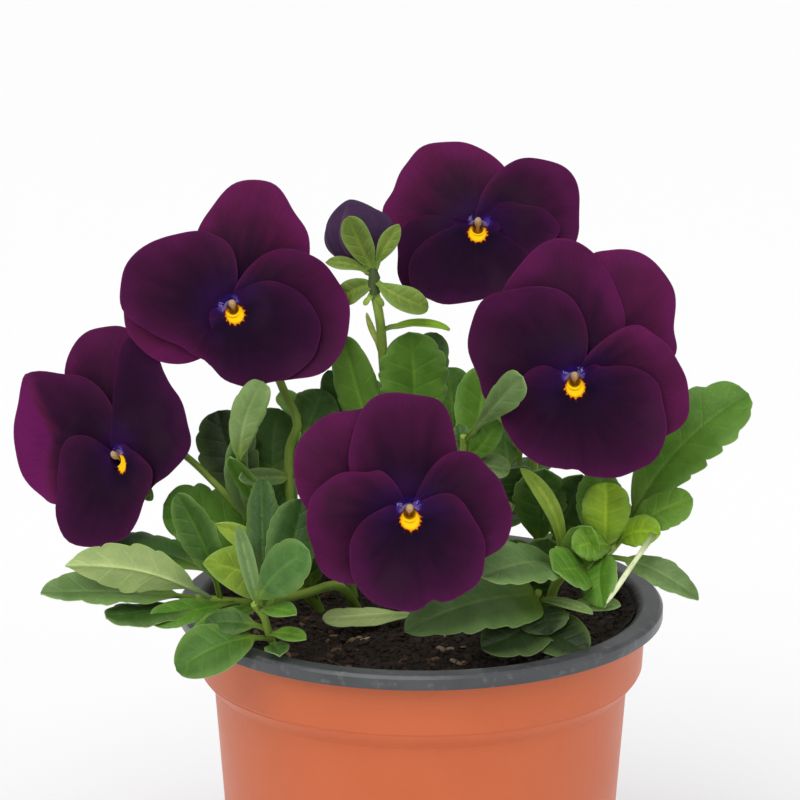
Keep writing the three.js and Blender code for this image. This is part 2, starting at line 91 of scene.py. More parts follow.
class Board:
    """A node tree that is being wired, for a material or for a shape."""

    def __init__(self, tree):
        self.tree = tree
        tree.nodes.clear()

    def socket(self, sockets, name):
        if isinstance(name, int):
            return sockets[name]
        return next(s for by in ("identifier", "name") for s in sockets if getattr(s, by) == name)

    def node(self, kind, sockets=None, out=0, **settings):
        """A node of a kind such as "Math", with its settings and what its sockets hold or are wired to."""
        kinds = (family + kind for family in ("GeometryNode", "ShaderNode", "FunctionNode", "Node"))
        made = self.tree.nodes.new(next(full for full in kinds if hasattr(bpy.types, full)))
        for name, value in settings.items():
            if name == "stops":
                self.ramp(made.color_ramp, value)
            else:
                setattr(made, name, value)
        for name, value in (sockets or {}).items():
            socket = self.socket(made.inputs, name)
            for each in value if isinstance(value, list) else [value]:
                if isinstance(each, Wire):
                    self.tree.links.new(each.socket, socket)
                else:
                    is_code = isinstance(each, str) and socket.type == "RGBA"
                    socket.default_value = shade(each) if is_code else each
        return Wire(self, self.socket(made.outputs, out)) if made.outputs else made

    def ramp(self, ramp, stops):
        while len(ramp.elements) < len(stops):
            ramp.elements.new(1.0)
        for element, (place, code) in zip(ramp.elements, stops):
            element.position, element.color = place, shade(code)

    def sum(self, operation, *values):
        return self.node("Math", dict(zip(("Value", "Value_001"), values)), operation=operation)

    def mix(self, share, a, b, how="MIX"):
        sockets = {"Factor_Float": share, "A_Color": a, "B_Color": b}
        return self.node("Mix", sockets, "Result_Color", data_type="RGBA", blend_type=how)

    def glazed(self, colour, *glazes):
        """A colour under thin layers, each given by its share and its own colour."""
        for share, tint in glazes:
            colour = self.mix(share, colour, tint)
        return colour

    def read(self, name, out="Fac"):
        """What the mesh stores under this name."""
        return self.node("Attribute", out=out, attribute_name=name)

    def noise(self, where, scale, detail, out=0):
        return self.node("TexNoise", {"Vector": where, "Scale": scale, "Detail": detail}, out)

    def spot(self, size, detail=2.0):
        """Soft blots about size millimetres apart, from 0 to 1."""
        return self.noise(self.node("TexCoord", out="Object"), 1 / (size * MM), detail)

    def finish(self, colour, rough, height, reach, **constants):
        """Closes a material. What varies is colour, roughness and bump: the rest sits on the shader."""
        bump = self.node("Bump", {"Height": height, "Distance": reach * MM})
        sockets = {"Base Color": colour, "Roughness": rough, "Normal": bump}
        sockets.update({name.replace("_", " "): value for name, value in constants.items()})
        self.node("OutputMaterial", {"Surface": self.node("BsdfPrincipled", sockets)})


def shade(code):
    """A screen colour such as "cf6e48" as linear light."""
    parts = [int(code[i : i + 2], 16) / 255 for i in (0, 2, 4)]
    return tuple(c / 12.92 if c <= 0.04045 else ((c + 0.055) / 1.055) ** 2.4 for c in parts) + (1.0,)


def eased(wire, low, high):
    """0 below low, 1 above high, and a soft slope between them."""
    return wire.into("MapRange", {"From Min": low, "From Max": high}, interpolation_type="SMOOTHSTEP")


def new_material(name):
    material = bpy.data.materials.new(name)
    material.use_nodes = True
    return material, Board(material.node_tree)


def new_shape(name, sizes):
    """A tree of Geometry Nodes with an input for each named size. Returns its board and its input wires."""
    board = Board(bpy.data.node_groups.new(name, "GeometryNodeTree"))
    sockets = board.tree.interface
    sockets.new_socket("Geometry", in_out="INPUT", socket_type="NodeSocketGeometry")
    for label, size in sizes.items():
        kind = "NodeSocketInt" if isinstance(size, int) else "NodeSocketFloat"
        sockets.new_socket(label, in_out="INPUT", socket_type=kind).default_value = size
    sockets.new_socket("Material", in_out="INPUT", socket_type="NodeSocketMaterial")
    sockets.new_socket("Geometry", in_out="OUTPUT", socket_type="NodeSocketGeometry")
    entry = board.tree.nodes.new("NodeGroupInput")
    return board, {s.name: Wire(board, s) for s in entry.outputs if s.name}


def close_shape(wires, geometry):
    dressed = geometry.into("RealizeInstances").into("SetMaterial", {"Material": wires["Material"]})
    dressed.into("GroupOutput")
    return geometry.board.tree


def put(name, data):
    """A new object in the scene."""
    made = bpy.data.objects.new(name, data)
    bpy.context.scene.collection.objects.link(made)
    return made


def shaped(name, mesh, tree, material, crease=40):
    """What a Geometry Nodes tree makes of a mesh, as a plain object with no modifier."""
    start = put(name + "_start", mesh)
    modifier = start.modifiers.new("shape", "NODES")
    modifier.node_group = tree
    inputs = {i.name: i.identifier for i in tree.interface.items_tree if i.in_out == "INPUT"}
    modifier[inputs["Material"]] = material
    graph = bpy.context.evaluated_depsgraph_get()
    whole = start.evaluated_get(graph)
    made = bpy.data.meshes.new_from_object(whole, preserve_all_data_layers=True, depsgraph=graph)
    start.modifiers.remove(modifier)
    bpy.data.objects.remove(start)
    made.name = name
    made.shade_smooth()
    made.set_sharp_from_angle(angle=math.radians(crease))
    return put(name, made)


def fasten(piece, slot, *nodes):
    """Every piece of the plant stands with the pot."""
    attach(piece, "root")
    if nodes:
        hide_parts(*nodes)


def outline_mesh(name, profile):
    """A profile of [radius, height] points as a string of edges, for turning."""
    mesh = bpy.data.meshes.new(name)
    points = [(r * MM, z * MM, 0.0) for r, z in profile]
    mesh.from_pydata(points, [(i, i + 1) for i in range(len(points) - 1)], [])
    return mesh


def turn_on_axis(board, wires):
    """The profile swept once round the Z axis, with its corners rounded and its poles closed."""
    corners = {"Radius": wires["Corner radius"], "Limit Radius": True, "Count": 3}
    line = wires["Geometry"].into("MeshToCurve").into("FilletCurve", corners, mode="POLY")
    line = line.into("StoreNamedAttribute", {"Name": "along", "Value": board.node("SplineParameter")})
    # A sweep adds the profile to the ring it follows, so the ring's own radius comes off first.
    ring_radius = 1.0
    x, y, _ = board.node("InputPosition").parts()
    line = line.into("SetPosition", {"Position": board.node("CombineXYZ", {"X": x - ring_radius, "Y": -y})})
    ring = board.node("CurvePrimitiveCircle", {"Resolution": wires["Segments"], "Radius": ring_radius})
    swept = ring.into("SetCurveNormal", mode="Z_UP").into("CurveToMesh", {"Profile Curve": line})
    return swept.into("FlipFaces").into("MergeByDistance", {"Distance": 0.01 * MM})


POT_HEIGHT, POT_RIM, POT_MOUTH, POT_BAND, POT_STEP, POT_FOOT = 100, 60, 55.6, 55.8, 83.4, 45.8
POT_WALL_RADIUS, POT_WALL = 51.4, 1.2  # the wall's radius just under the step, and how thick it is
DRAIN_HOLES = 8
pot_profile = [
    [0, 0], [31, 0], [33, 2.4], [41, 2.4], [42.6, 0], [POT_FOOT, 0],
    [POT_WALL_RADIUS, POT_STEP - 4.2], [53.4, POT_STEP - 2], [54.7, POT_STEP - 0.3], [54.6, POT_STEP + 0.1],
    [55.1, POT_STEP + 0.6], [POT_BAND, 96.6], [POT_BAND + 0.2, 98.7],
    [POT_RIM - 1.3, 98.7], [POT_RIM - 1.3, 96.4], [POT_RIM, 96.6], [POT_RIM, 99.2],
    [POT_RIM - 0.8, POT_HEIGHT], [POT_MOUTH, POT_HEIGHT],
    [POT_MOUTH - 1.6, 99.2], [53, 96.6], [POT_WALL_RADIUS, POT_STEP],
    [POT_WALL_RADIUS - POT_WALL, POT_STEP - 4],
    [44, 6], [42.6, 3.8], [33, 3.8], [30.6, 1.4], [0, 1.4],
]
LIP_STARTS = 12  # the profile point where the grey layer comes over the lip
LIP_ENDS = LIP_STARTS + 6
legs = [math.dist(a, b) for a, b in zip(pot_profile, pot_profile[1:])]
lip_share, mouth_share = (sum(legs[:point]) / sum(legs) for point in (LIP_STARTS, LIP_ENDS))

board, wires = new_shape("pot moulding", {
    "Segments": 160, "Corner radius": 0.3 * MM, "Drain holes": DRAIN_HOLES, "Hole radius": 3 * MM,
    "Hole circle": 37 * MM,
})
spots = board.node("MeshCircle", {"Vertices": wires["Drain holes"], "Radius": wires["Hole circle"]})
spots = spots.into("Transform", {"Rotation": (0, 0, math.pi / DRAIN_HOLES)})
punch = board.node("MeshCylinder", {"Vertices": 28, "Radius": wires["Hole radius"], "Depth": 16 * MM})
punches = spots.into("InstanceOnPoints", {"Instance": punch}).into("RealizeInstances")
body = turn_on_axis(board, wires)
body = body.into("MeshBoolean", {"Mesh 2": [punches]}, operation="DIFFERENCE", solver="EXACT")
pot_tree = close_shape(wires, body)

pot_material, board = new_material("pot plastic")
height = board.node("TexCoord", out="Object").parts()[2] / MM
along = board.read("along")
grey_layer = eased(along, lip_share - 0.001, lip_share + 0.001)
inside = eased(along, mouth_share - 0.001, mouth_share + 0.004)
earth = eased(board.spot(7, 5), 0.55, 0.8) * eased(height, 99.4, 96) * eased(height, 60, 95)
clay = board.glazed(
    board.mix(board.spot(26, 3), "bf592b", "cd6637"),
    # Lighter towards the lip, on the band under it: painted light against the lip's shade.
    (eased(height, 88, 98) * 0.4, "d06a38"),
    (eased(board.spot(1.3, 4), 0.62, 0.75) * 0.12, "a35236"),
    (earth * 0.10, "6b3a28"),
)
grey = board.glazed(
    board.mix(board.spot(9, 4), "323437", "4e5053"),
    (eased(board.spot(2.2, 6), 0.55, 0.72) * 0.25, "8a8580"),
    # Inside the mouth the grey darkens and browns in patches towards the compost: painted shade down the
    # wall, with a soil stain.
    (inside * eased(board.spot(2.6, 5) + 0.05 * (99 - height), 0.35, 0.62), "241a15"),
)
rough = 0.34 - 0.08 * grey_layer + 0.14 * board.spot(12, 4) + 0.33 * inside
grain = board.spot(0.9, 3) + 0.6 * board.spot(4, 2)
board.finish(board.mix(grey_layer, clay, grey), rough, grain, 0.05, Specular_IOR_Level=0.45)

pot = shaped("planter_pot", outline_mesh("pot_outline", pot_profile), pot_tree, pot_material, crease=32)
fasten(pot, "pot", "pot")


# The compost is dark moist peat, pressed in by hand and banked up against the wall close to the lip. Its
# top is uneven, with crumbs of peat, chips of brown bark and fine root fibres lying loose on it.
SOIL_LEVEL, SOIL_RADIUS = 93.6, 53.2
DOME_HIGH, DOME_RADIUS = 1.5, 54  # its top swells this much in the middle
BANK_HIGH, BANK_WIDE, BANK_RADIUS = 4.6, 3.6, 53.4  # and rises this much to the wall, where it is banked up
TOP_STEPS = 56
soil_profile = [
    [0, 1.7], [30.4, 1.7], [32.8, 4.1], [42.3, 4.1], [43.6, 6.2], [49.8, 79.4], [52.6, 95.6],
    [SOIL_RADIUS, 97.5],
]
for r in np.linspace(SOIL_RADIUS, 0, TOP_STEPS):
    bank = BANK_HIGH * math.exp(-(((BANK_RADIUS - r) / BANK_WIDE) ** 2))
    soil_profile.append([r, SOIL_LEVEL + DOME_HIGH * math.sqrt(1 - (r / DOME_RADIUS) ** 2) + bank])

board, wires = new_shape("compost", {
    "Segments": 180, "Corner radius": 0.0, "Crumbs per square metre": 400000.0,
    "Chips per square metre": 42000.0, "Fibres per square metre": 26000.0, "Seed": 11,
})
at = board.node("InputPosition")
x, y, z = at.parts()
swell = 0.7 * board.sum("SINE", x / (5 * MM) + 1) * board.sum("COSINE", y / (6 * MM))
swell = swell + 0.4 * board.sum("SINE", x / (2.3 * MM) - y / (3.1 * MM))
lumps = board.noise(at, 1 / (3.2 * MM), 5.0) - 0.5
top = eased(z, 93.3 * MM, 93.9 * MM)
rise = board.node("CombineXYZ", {"Z": top * (0.75 * swell + 2.6 * lumps) * MM})
bed = turn_on_axis(board, wires).into("SetPosition", {"Offset": rise})


def random_between(low, high, seed):
    """A number or a vector, drawn anew for each point."""
    ends, kind = ("_001", "FLOAT") if isinstance(low, float) else ("", "FLOAT_VECTOR")
    sockets = {"Min" + ends: low, "Max" + ends: high, "Seed": seed}
    return seed.board.node("RandomValue", sockets, "Value" + ends, data_type=kind)


def strewn(each, density, seed, smallest, largest, tone, reach=48):
    """Copies of one grain lying at random on the top of the bed, each with its own turn, size and tone."""
    facing_up = eased(board.node("InputNormal").parts()[2], 0.2, 0.5)
    x, y, z = board.node("InputPosition").parts()
    near = eased(x * x + y * y, (reach * MM) ** 2, ((reach - 0.5) * MM) ** 2)
    chosen = facing_up * (eased(z, 92 * MM, 93 * MM) * near)
    points = bed.into("DistributePointsOnFaces", {"Selection": chosen, "Density": density, "Seed": seed})
    turn = random_between((-0.5, -0.5, 0.0), (0.5, 0.5, 6.3), seed + 1)
    scale = random_between(smallest, largest, seed + 2)
    laid = points.into("InstanceOnPoints", {"Instance": each, "Rotation": turn, "Scale": scale})
    toned = {"Name": "tone", "Value": random_between(*tone, seed + 3)}
    whole = laid.into("StoreNamedAttribute", toned, domain="INSTANCE").into("RealizeInstances")
    rough = board.noise(board.node("InputPosition"), 1 / (1.1 * MM), 1.0, "Color")
    push = rough.into("VectorMath", {"Vector_001": (0.5,) * 3}, operation="SUBTRACT")
    push = push.into("VectorMath", {"Scale": 1.1 * MM}, operation="SCALE")
    return whole.into("SetPosition", {"Offset": push})


crumb, chip = (board.node("MeshIcoSphere", {"Radius": 1.0 * MM, "Subdivisions": level}) for level in (1, 2))
thread = {"Vertices": 5, "Side Segments": 5, "Radius": 0.1 * MM, "Depth": 8 * MM}
fibre = board.node("MeshCylinder", thread).into("Transform", {"Rotation": (0, math.pi / 2, 0)})
grains = [
    strewn(each, wires[kind + " per square metre"], wires["Seed"] + step, *rest)
    for each, kind, step, *rest in (
        (crumb, "Crumbs", 0, (0.35, 0.35, 0.3), (1.0, 1.0, 0.8), (0.0, 0.5), 51.5),
        (chip, "Chips", 10, (0.9, 0.6, 0.35), (2.3, 1.2, 0.7), (0.45, 1.0)),
        (fibre, "Fibres", 20, (0.4, 0.6, 0.6), (1.1, 1.3, 1.3), (0.6, 0.9)),
    )
]
soil_tree = close_shape(wires, board.node("JoinGeometry", {"Geometry": [bed, *grains]}))

soil_material, board = new_material("compost")
peat_to_bark = [
    (0.0, "281e17"), (0.35, "3a2b21"), (0.6, "3e2e25"), (0.8, "5e4232"), (0.93, "8e6c50"), (1.0, "c9b79c"),
]
earth = board.read("tone").into("ValToRGB", stops=peat_to_bark)
colour = board.mix(board.spot(1.7, 5), board.mix(0.5, earth, "160e0a"), earth)
board.finish(colour, 0.62 + 0.3 * board.spot(2.5, 3), board.spot(0.5, 5), 0.5, Specular_IOR_Level=0.35)

soil_outline = outline_mesh("soil_outline", soil_profile)
soil = shaped("compost_bed", soil_outline, soil_tree, soil_material, crease=50)
fasten(soil, "soil", "soil")


# The shoots are soft green stems that stand in the compost, each with its leaves and leafy stipules on
# grooved stalks. The leaves are oval with blunt teeth, a sunken midrib and curved side veins. A shoot also
# carries the arched stalks of its blooms, each ending in a green cup of five sepals.
SHOOTS = {}
# A leaf is given by how far up the stem it grows, or the point it hangs from, its tip, its width, the way
# it faces, its bow and its bend to the side, its stalk's bare share, its tint and, if any, its own form.
SHOOTS["left"] = {"radii": [1.8, 1.3], "stem": [
    [-13, 0, 88], [-17, -5, 101], [-21, -13, 107], [-29, -20, 107], [-40, -23, 106], [-54, -26, 108]
], "leaves": [
    [0.98, [-90, -34, 112], 17, [-0.1, -0.25, 0.97], 1, 0, 0.14, "sage", dict(widest=0.5, blunt=0.7)],
    [0.93, [-84, -33, 118.5], 15, [-0.15, 0.92, 0.35], -3, -6, 0.12, "pale", dict(widest=0.56, blunt=0.95)],
    [0.88, [-74, -40, 108], 12, [0, -0.2, 0.97], 0, 0, 0.2, "dark", dict(teeth=6)],
    [0.82, [-64, -38, 106], 8, [-0.2, -0.7, 0.7], 1, 0, 0.15, "fresh"],
    [0.7, [-54, -37, 103], 5, [-0.2, -0.8, 0.5], 1, 0, 0.15, "fresh"],
    [0.76, [-79, -3, 114], 15, [0, -0.3, 0.95], 5, 0, 0.3, "dark"],
    [0.9, [-58, -26, 134], 10, [-0.2, -0.95, 0.1], 2, 2, 0.2, "deep"],
    [0.68, [-51.5, -33, 119], 12, [0.1, -0.75, 0.65], 3, 1, 0, "olive", dict(teeth=0, blunt=0.8)],
    [0.72, [-49, -28, 127], 6, [0.4, -0.85, 0.2], 2, 4, 0.1, "olive", dict(blunt=0.8)],
]}
SHOOTS["crown_left"] = {"radii": [1.8, 1.3], "stem": [
    [-22, 4, 88], [-30, 0, 110], [-32, -2, 126], [-32, -2, 139], [-30, -3, 145], [-33, 2, 151],
    [-38, 5, 162], [-43, 6, 171]
], "leaves": [
    [0.14, [-63, -4, 125], 17, [-0.3, -0.75, 0.6], 2, 3, 0.25, "fresh"],
    [0.26, [-42.4, -17.4, 148], 6.4, [-0.3, -0.95, 0.1], 2, -7, 0.3, "sage", dict(teeth=5, widest=0.5)],
    [[-43.6, -17.6, 139.5], [-37.6, -17.3, 159.2], 8.6, [-0.3, -0.95, 0.1], 2, -1, 0, "grey",
     dict(teeth=3, widest=0.68, blunt=0.33)],
    [0.21, [-46, -16, 140], 6, [-0.4, -0.9, 0.1], 0, 0, 0.3, "fresh"],
    [0.5, [-43.5, -15.5, 135], 4.4, [0.1, -0.9, 0.4], 0.5, 0, 0, "grey",
     dict(teeth=0, widest=0.6, blunt=0.3)],
    [0.4, [-42, -8, 126], 2.4, [0.1, -0.8, 0.6], 1, 0, 0.3, "grey"],
    [0.31, [-50, 7, 146], 16, [-0.3, -0.85, 0.4], 3, -3, 0.35, "shady"],
    [0.36, [-35, 9, 146], 13, [0, -0.98, 0.2], 1, -3, 0.4, "dark"],
    [0.5, [-24, 8, 151], 12, [0.1, -0.8, 0.6], 2, 0, 0.4, "dark"],
    [0.1, [-49, 2, 119], 12, [-0.4, -0.8, 0.4], 2, 0, 0.3, "dark"],
    [0.2, [-40, -1, 133], 14, [0, -0.95, 0.3], 2, 0, 0.3, "dark"],
    [0.12, [-31, -7, 124], 13, [0.1, -0.95, 0.3], 2, 0, 0.2, "dark"],
    [0.16, [-20, -4, 130], 13, [0.2, -0.95, 0.3], 2, 0, 0.2, "deep"],
    [0.14, [-41, -12, 117], 11, [0, -0.9, 0.4], 2, 0, 0.2, "deep"],
]}
SHOOTS["bud"] = {"radii": [2, 1.5], "stem": [
    [-8, 10, 88], [-7, 8, 107], [-7, 3, 136], [-9, -1, 158], [-10, -6, 172], [-11.5, -7, 180]
], "leaves": [
    [0.42, [-3, -3, 168], 17.5, [0, -0.95, 0.3], 2, 3, 0.3, "fresh"],
    [0.48, [4, 10, 165], 11, [0.2, -0.6, 0.8], 4, 0, 0.3, "dark"],
    [0.54, [-17, 14, 161], 5, [-0.1, -0.5, 0.85], 1, 0, 0.3, "grey"],
    [0.37, [-19, 2, 166], 11, [-0.2, -0.95, 0.2], 2, 0, 0.35, "fresh"],
    [0.32, [-23, 12, 155], 10, [-0.2, -0.9, 0.4], 2, 0, 0.35, "dark"],
    [0.88, [7, -8, 170], 3, [-0.1, -0.4, 0.9], 2, 0, 0.1, "lime"],
    [[-11.7, -6.7, 184.2], [-17.4, -8.6, 197.4], 6.8, [-0.3, -0.9, 0.3], 0.6, 0, 0, "cup"],
    [[-11.3, -6.7, 184], [-5.2, -7, 195.2], 4.6, [0.35, -0.9, 0.3], 0.8, -0.6, 0, "cup", dict(blunt=0.75)],
    [[-11.8, -6.5, 183.4], [-23, -4, 185.5], 3.6, [-0.1, -0.8, 0.6], 0.8, 0.5, 0, "cup", dict(blunt=0.8)],
    [[-11, -7, 181], [-20, -6, 175.8], 5.6, [-0.2, -0.9, 0.3], 1, 0.8, 0, "cup", dict(blunt=0.5)],
    [[-11, -7.4, 181.4], [1.8, -9.5, 175.6], 6.6, [0.1, -0.85, 0.5], 1.4, 1.2, 0, "cup", dict(blunt=0.5)],
    [[-11, -7.6, 178.6], [-9, -8.6, 175.6], 1.4, [0.2, -0.9, 0.3], 0.3, 0, 0, "stem"],
    [[-11.6, -7.6, 178.6], [-13.8, -8.2, 175.8], 1.4, [-0.2, -0.9, 0.3], 0.3, 0, 0, "stem"],
    [0.8, [-13.2, -7, 173.4], 1.6, [-0.3, -0.9, 0.1], 0.3, 0, 0, "pale"],
]}
SHOOTS["centre"] = {"radii": [1.7, 1.2], "stem": [
    [4, -2, 88], [5, -8, 109], [7, -16, 130], [10, -20, 142], [10, -22, 147]
], "leaves": [
    [0.6, [15, -4, 160], 13, [0.1, -0.9, 0.4], 2, 2, 0.3, "fresh"],
    [0.97, [23, -37, 165], 8, [-0.3, -0.9, 0.3], 1, 0, 0.12, "grey", dict(teeth=3, widest=0.78, blunt=0.4)],
    [0.92, [9, -18, 149], 4, [0, -0.9, 0.4], 1, 0, 0, "dark"],
    [0.88, [18, -26, 152], 6, [0.1, -0.9, 0.4], 1, 1, 0.15, "fresh"],
    [0.8, [19, -20, 147], 4, [0.3, -0.9, 0.2], 1, -2, 0, "grey"],
    [0.84, [21, -24, 139], 7, [0.2, -0.7, 0.7], 2, 0, 0.15, "grey"],
    [0.15, [-24, -15, 99], 8, [0, 0.3, -0.95], 0, 0, 0.2, "pale"],
]}
SHOOTS["crown_back"] = {"radii": [1.7, 1.3], "stem": [
    [26, 6, 88], [30, 4, 103], [28, 2, 124], [28, 4, 132], [26, 8, 148], [22, 14, 167], [19, 22, 178],
    [15.5, 25, 185]
], "leaves": [
    [0.17, [30, -8, 135], 14, [-0.1, -0.95, 0.2], 1, -1, 0.3, "deep"],
    [0.21, [39, -8, 133.5], 14, [0.1, -0.95, 0.2], 1, 1, 0.3, "dark"],
    [0.1, [21, -8, 117], 10, [0, -0.9, 0.4], 2, 0, 0.3, "dark"],
    [0.13, [43, -2, 116], 11, [0.1, -0.9, 0.4], 2, 0, 0.3, "dark"],
    [0.3, [22, -4, 134], 11, [-0.2, -0.9, 0.3], 1, 0, 0.3, "dark"],
    [0.08, [31, -10, 118], 13, [0, -0.9, 0.4], 2, 0, 0.2, "dark"],
    [0.16, [47, 2, 131], 12, [0.2, -0.9, 0.3], 2, 0, 0.3, "dark"],
]}
SHOOTS["right"] = {"radii": [1.9, 1.4], "stem": [
    [30, -12, 88], [33, -18, 110], [39, -20, 114], [45, -18, 117], [49, -16, 121]
], "leaves": [
    [0.98, [79, -8, 154], 20, [-0.5, -0.8, 0.3], 3, -3, 0.12, "fresh"],
    [0.9, [65, -20, 131], 11, [-0.1, -0.7, 0.7], 2, -1, 0.15, "bright"],
    [0.83, [66, -30, 109], 9.5, [0.1, -0.5, 0.85], 3, 0, 0.2, "grey", dict(blunt=0.75, widest=0.5)],
    [0.85, [60, -4, 126], 9, [0.1, -0.8, 0.6], 1, 0, 0.2, "grey"],
    [0.78, [44, -8, 135], 12, [0, -0.9, 0.4], 1, 0, 0.2, "fresh"],
    [0.93, [57, -24, 123.5], 8.5, [-0.2, -0.75, 0.6], 2, -1, 0.05, "lime", dict(teeth=3)],
    [0.88, [43, -36, 109], 11, [-0.6, -0.6, 0.5], 3, 0, 0.1, "fresh", dict(blunt=0.7)],
    [0.72, [31, -38, 119], 13.5, [0, -0.85, 0.5], 1, -1, 0.05, "fresh", dict(blunt=0.5, teeth=3)],
    [0.6, [14, -50, 121], 15, [0, -0.65, 0.75], 4, 0, 0.12, "sage", dict(blunt=0.48)],
    [0.9, [36, -28, 121], 9, [0, -0.85, 0.5], 1, 1, 0.05, "bright"],
    [0.6, [40.4, -24, 125], 9.5, [0, -0.9, 0.4], 0, 0, 0, "bright", dict(teeth=3, blunt=0.45, widest=0.6)],
    [0.84, [44.6, -16, 134], 12, [0, -0.95, 0.3], 1, 0, 0.1, "lime", dict(teeth=4, widest=0.6)],
    [[55.5, -26, 124.5], [43.5, -37.5, 110.5], 1.3, [-0.2, -0.9, 0.4], 0.3, 0, 0, "straw", dict(teeth=0)],
    [0.52, [23.7, -22, 139], 4.2, [0.2, -0.9, 0.3], 2, 4, 0.1, "olive"],
]}
SHOOTS["front_right"] = {"radii": [1.5, 1.2], "stem": [
    [22, -22, 88], [27, -24, 103], [28, -27, 110]
], "leaves": [
    [0.95, [-4, -42, 105], 20, [0, -0.6, 0.8], 4, 0, 0, "sage", dict(widest=0.36, blunt=0.62)],
    [0.82, [30, -38, 103], 12, [0, -0.7, 0.7], 2, 0, 0.2, "shady"],
    [0.7, [39, -41, 99.5], 13, [0.1, -0.7, 0.7], 2, 2, 0.1, "shady", dict(teeth=0)],
    [0.7, [14, -42, 101], 16, [0, -0.75, 0.65], 3, -3, 0.1, "shady", dict(teeth=3, widest=0.42)],
    [0.9, [40, -40, 109], 3, [0.1, -0.7, 0.7], 1, 0, 0, "grey"],
    [0.8, [47, -34, 109], 4, [0.1, -0.8, 0.6], 1, 0, 0.4, "grey"],
]}
SHOOTS["front_left"] = {"radii": [1.5, 1.2], "stem": [
    [-32, -30, 88], [-36, -40, 104], [-37, -43, 109], [-39, -46, 113]
], "leaves": [
    [0.97, [-26, -59, 129.8], 12, [-0.1, -0.85, 0.5], 2, -1, 0.1, "blue", dict(teeth=3)],
    [0.92, [-29, -56, 114], 5, [0, -0.7, 0.7], 1, 0, 0.15, "fresh"],
    [0.62, [-27, -50, 106], 4, [0, -0.7, 0.7], 1, 0, 0, "fresh"],
    [0.5, [-33, -50, 102], 6, [0, -0.75, 0.65], 1, 0, 0.3, "dark"],
    [0.57, [-57, -50, 98], 15, [-0.2, -0.65, 0.75], 4, 0, 0.15, "deep", dict(teeth=0)],
    [0.68, [-51, -40, 106], 8, [0, -0.6, 0.8], 2, 0, 0.15, "dark"],
    [0.88, [-43, -36, 129], 4, [0, -0.95, 0.2], 1, 0, 0, "sage"],
    [0.74, [-38, -24, 137], 8, [-0.1, -0.95, 0.2], 1, 0, 0.25, "dark"],
    [0.81, [-28, -34, 135], 13, [0.1, -0.95, 0.2], 1, 1, 0.2, "dark"],
]}

draw_state = 7


def draw():
    """The plant's own seeded draw, from 0 to 1, so that the back shoots stand as they do in the frame."""
    global draw_state
    draw_state = (draw_state * 16807) % 2147483647
    return draw_state / 2147483647


def out(r, turn):
    return [r * math.cos(turn), r * math.sin(turn)]


back_tints = ["fresh", "dark", "fresh", "blue", "dark"]
for k in range(4):
    way = math.radians(42 + 33 * k)
    leaves = []
    for i, swing in enumerate([-48, 42, -8, 56, 20]):
        turn = way + math.radians(swing + 12 * draw() - 6)
        rise = [0.1, 0.3, 0.55, 0.8, 1.1][i] + 0.15 * draw()
        reach = 35 - 2 * i + 4 * draw()
        foot_x, foot_y = out(24 + 2 * i, way)
        dx, dy = out(reach * math.cos(rise), turn)
        tip = [foot_x + dx, foot_y + dy, 104 + 4 * i + reach * math.sin(rise)]
        face = out(-math.sin(rise), turn) + [math.cos(rise)]
        leaves.append([0.36 + 0.14 * i, tip, 19 - 1.5 * i, face, 4, 0, 0.28, back_tints[(i + k) % 5]])
    stem = [out(r, way) + [z] for r, z in ((20, 88), (24, 104), (31, 118), (36, 126))]
    SHOOTS["back_" + str(k + 1)] = {"stem": stem, "radii": [1.8, 1.3], "leaves": leaves}


def unit(v):
    return v / np.linalg.norm(v, axis=-1, keepdims=True)


def smooth_path(points, count):
    """Points evenly spaced along a centripetal Catmull-Rom curve through the given ones."""
    p = [np.array(q, float) for q in points]
    p = [2 * p[0] - p[1]] + p + [2 * p[-1] - p[-2]]
    t = np.linspace(0, 1, 40, endpoint=False)[:, None]
    found = []
    for a, b, c, d in zip(p, p[1:], p[2:], p[3:]):
        before, here, after = (math.dist(u, v) ** 0.5 for u, v in ((a, b), (b, c), (c, d)))
        start = (b - a) / before - (c - a) / (before + here) + (c - b) / here
        end = (c - b) / here - (d - b) / (here + after) + (d - c) / after
        start, end = start * here, end * here
        bend = (3 * (c - b) - 2 * start - end) * t**2 + (2 * (b - c) + start + end) * t**3
        found.append(b + start * t + bend)
    found = np.vstack(found + [p[-2][None]])
    run = np.concatenate([[0], np.cumsum(np.linalg.norm(np.diff(found, axis=0), axis=1))])
    even = np.linspace(0, run[-1], count)
    return np.stack([np.interp(even, run, found[:, k]) for k in range(3)], axis=1)


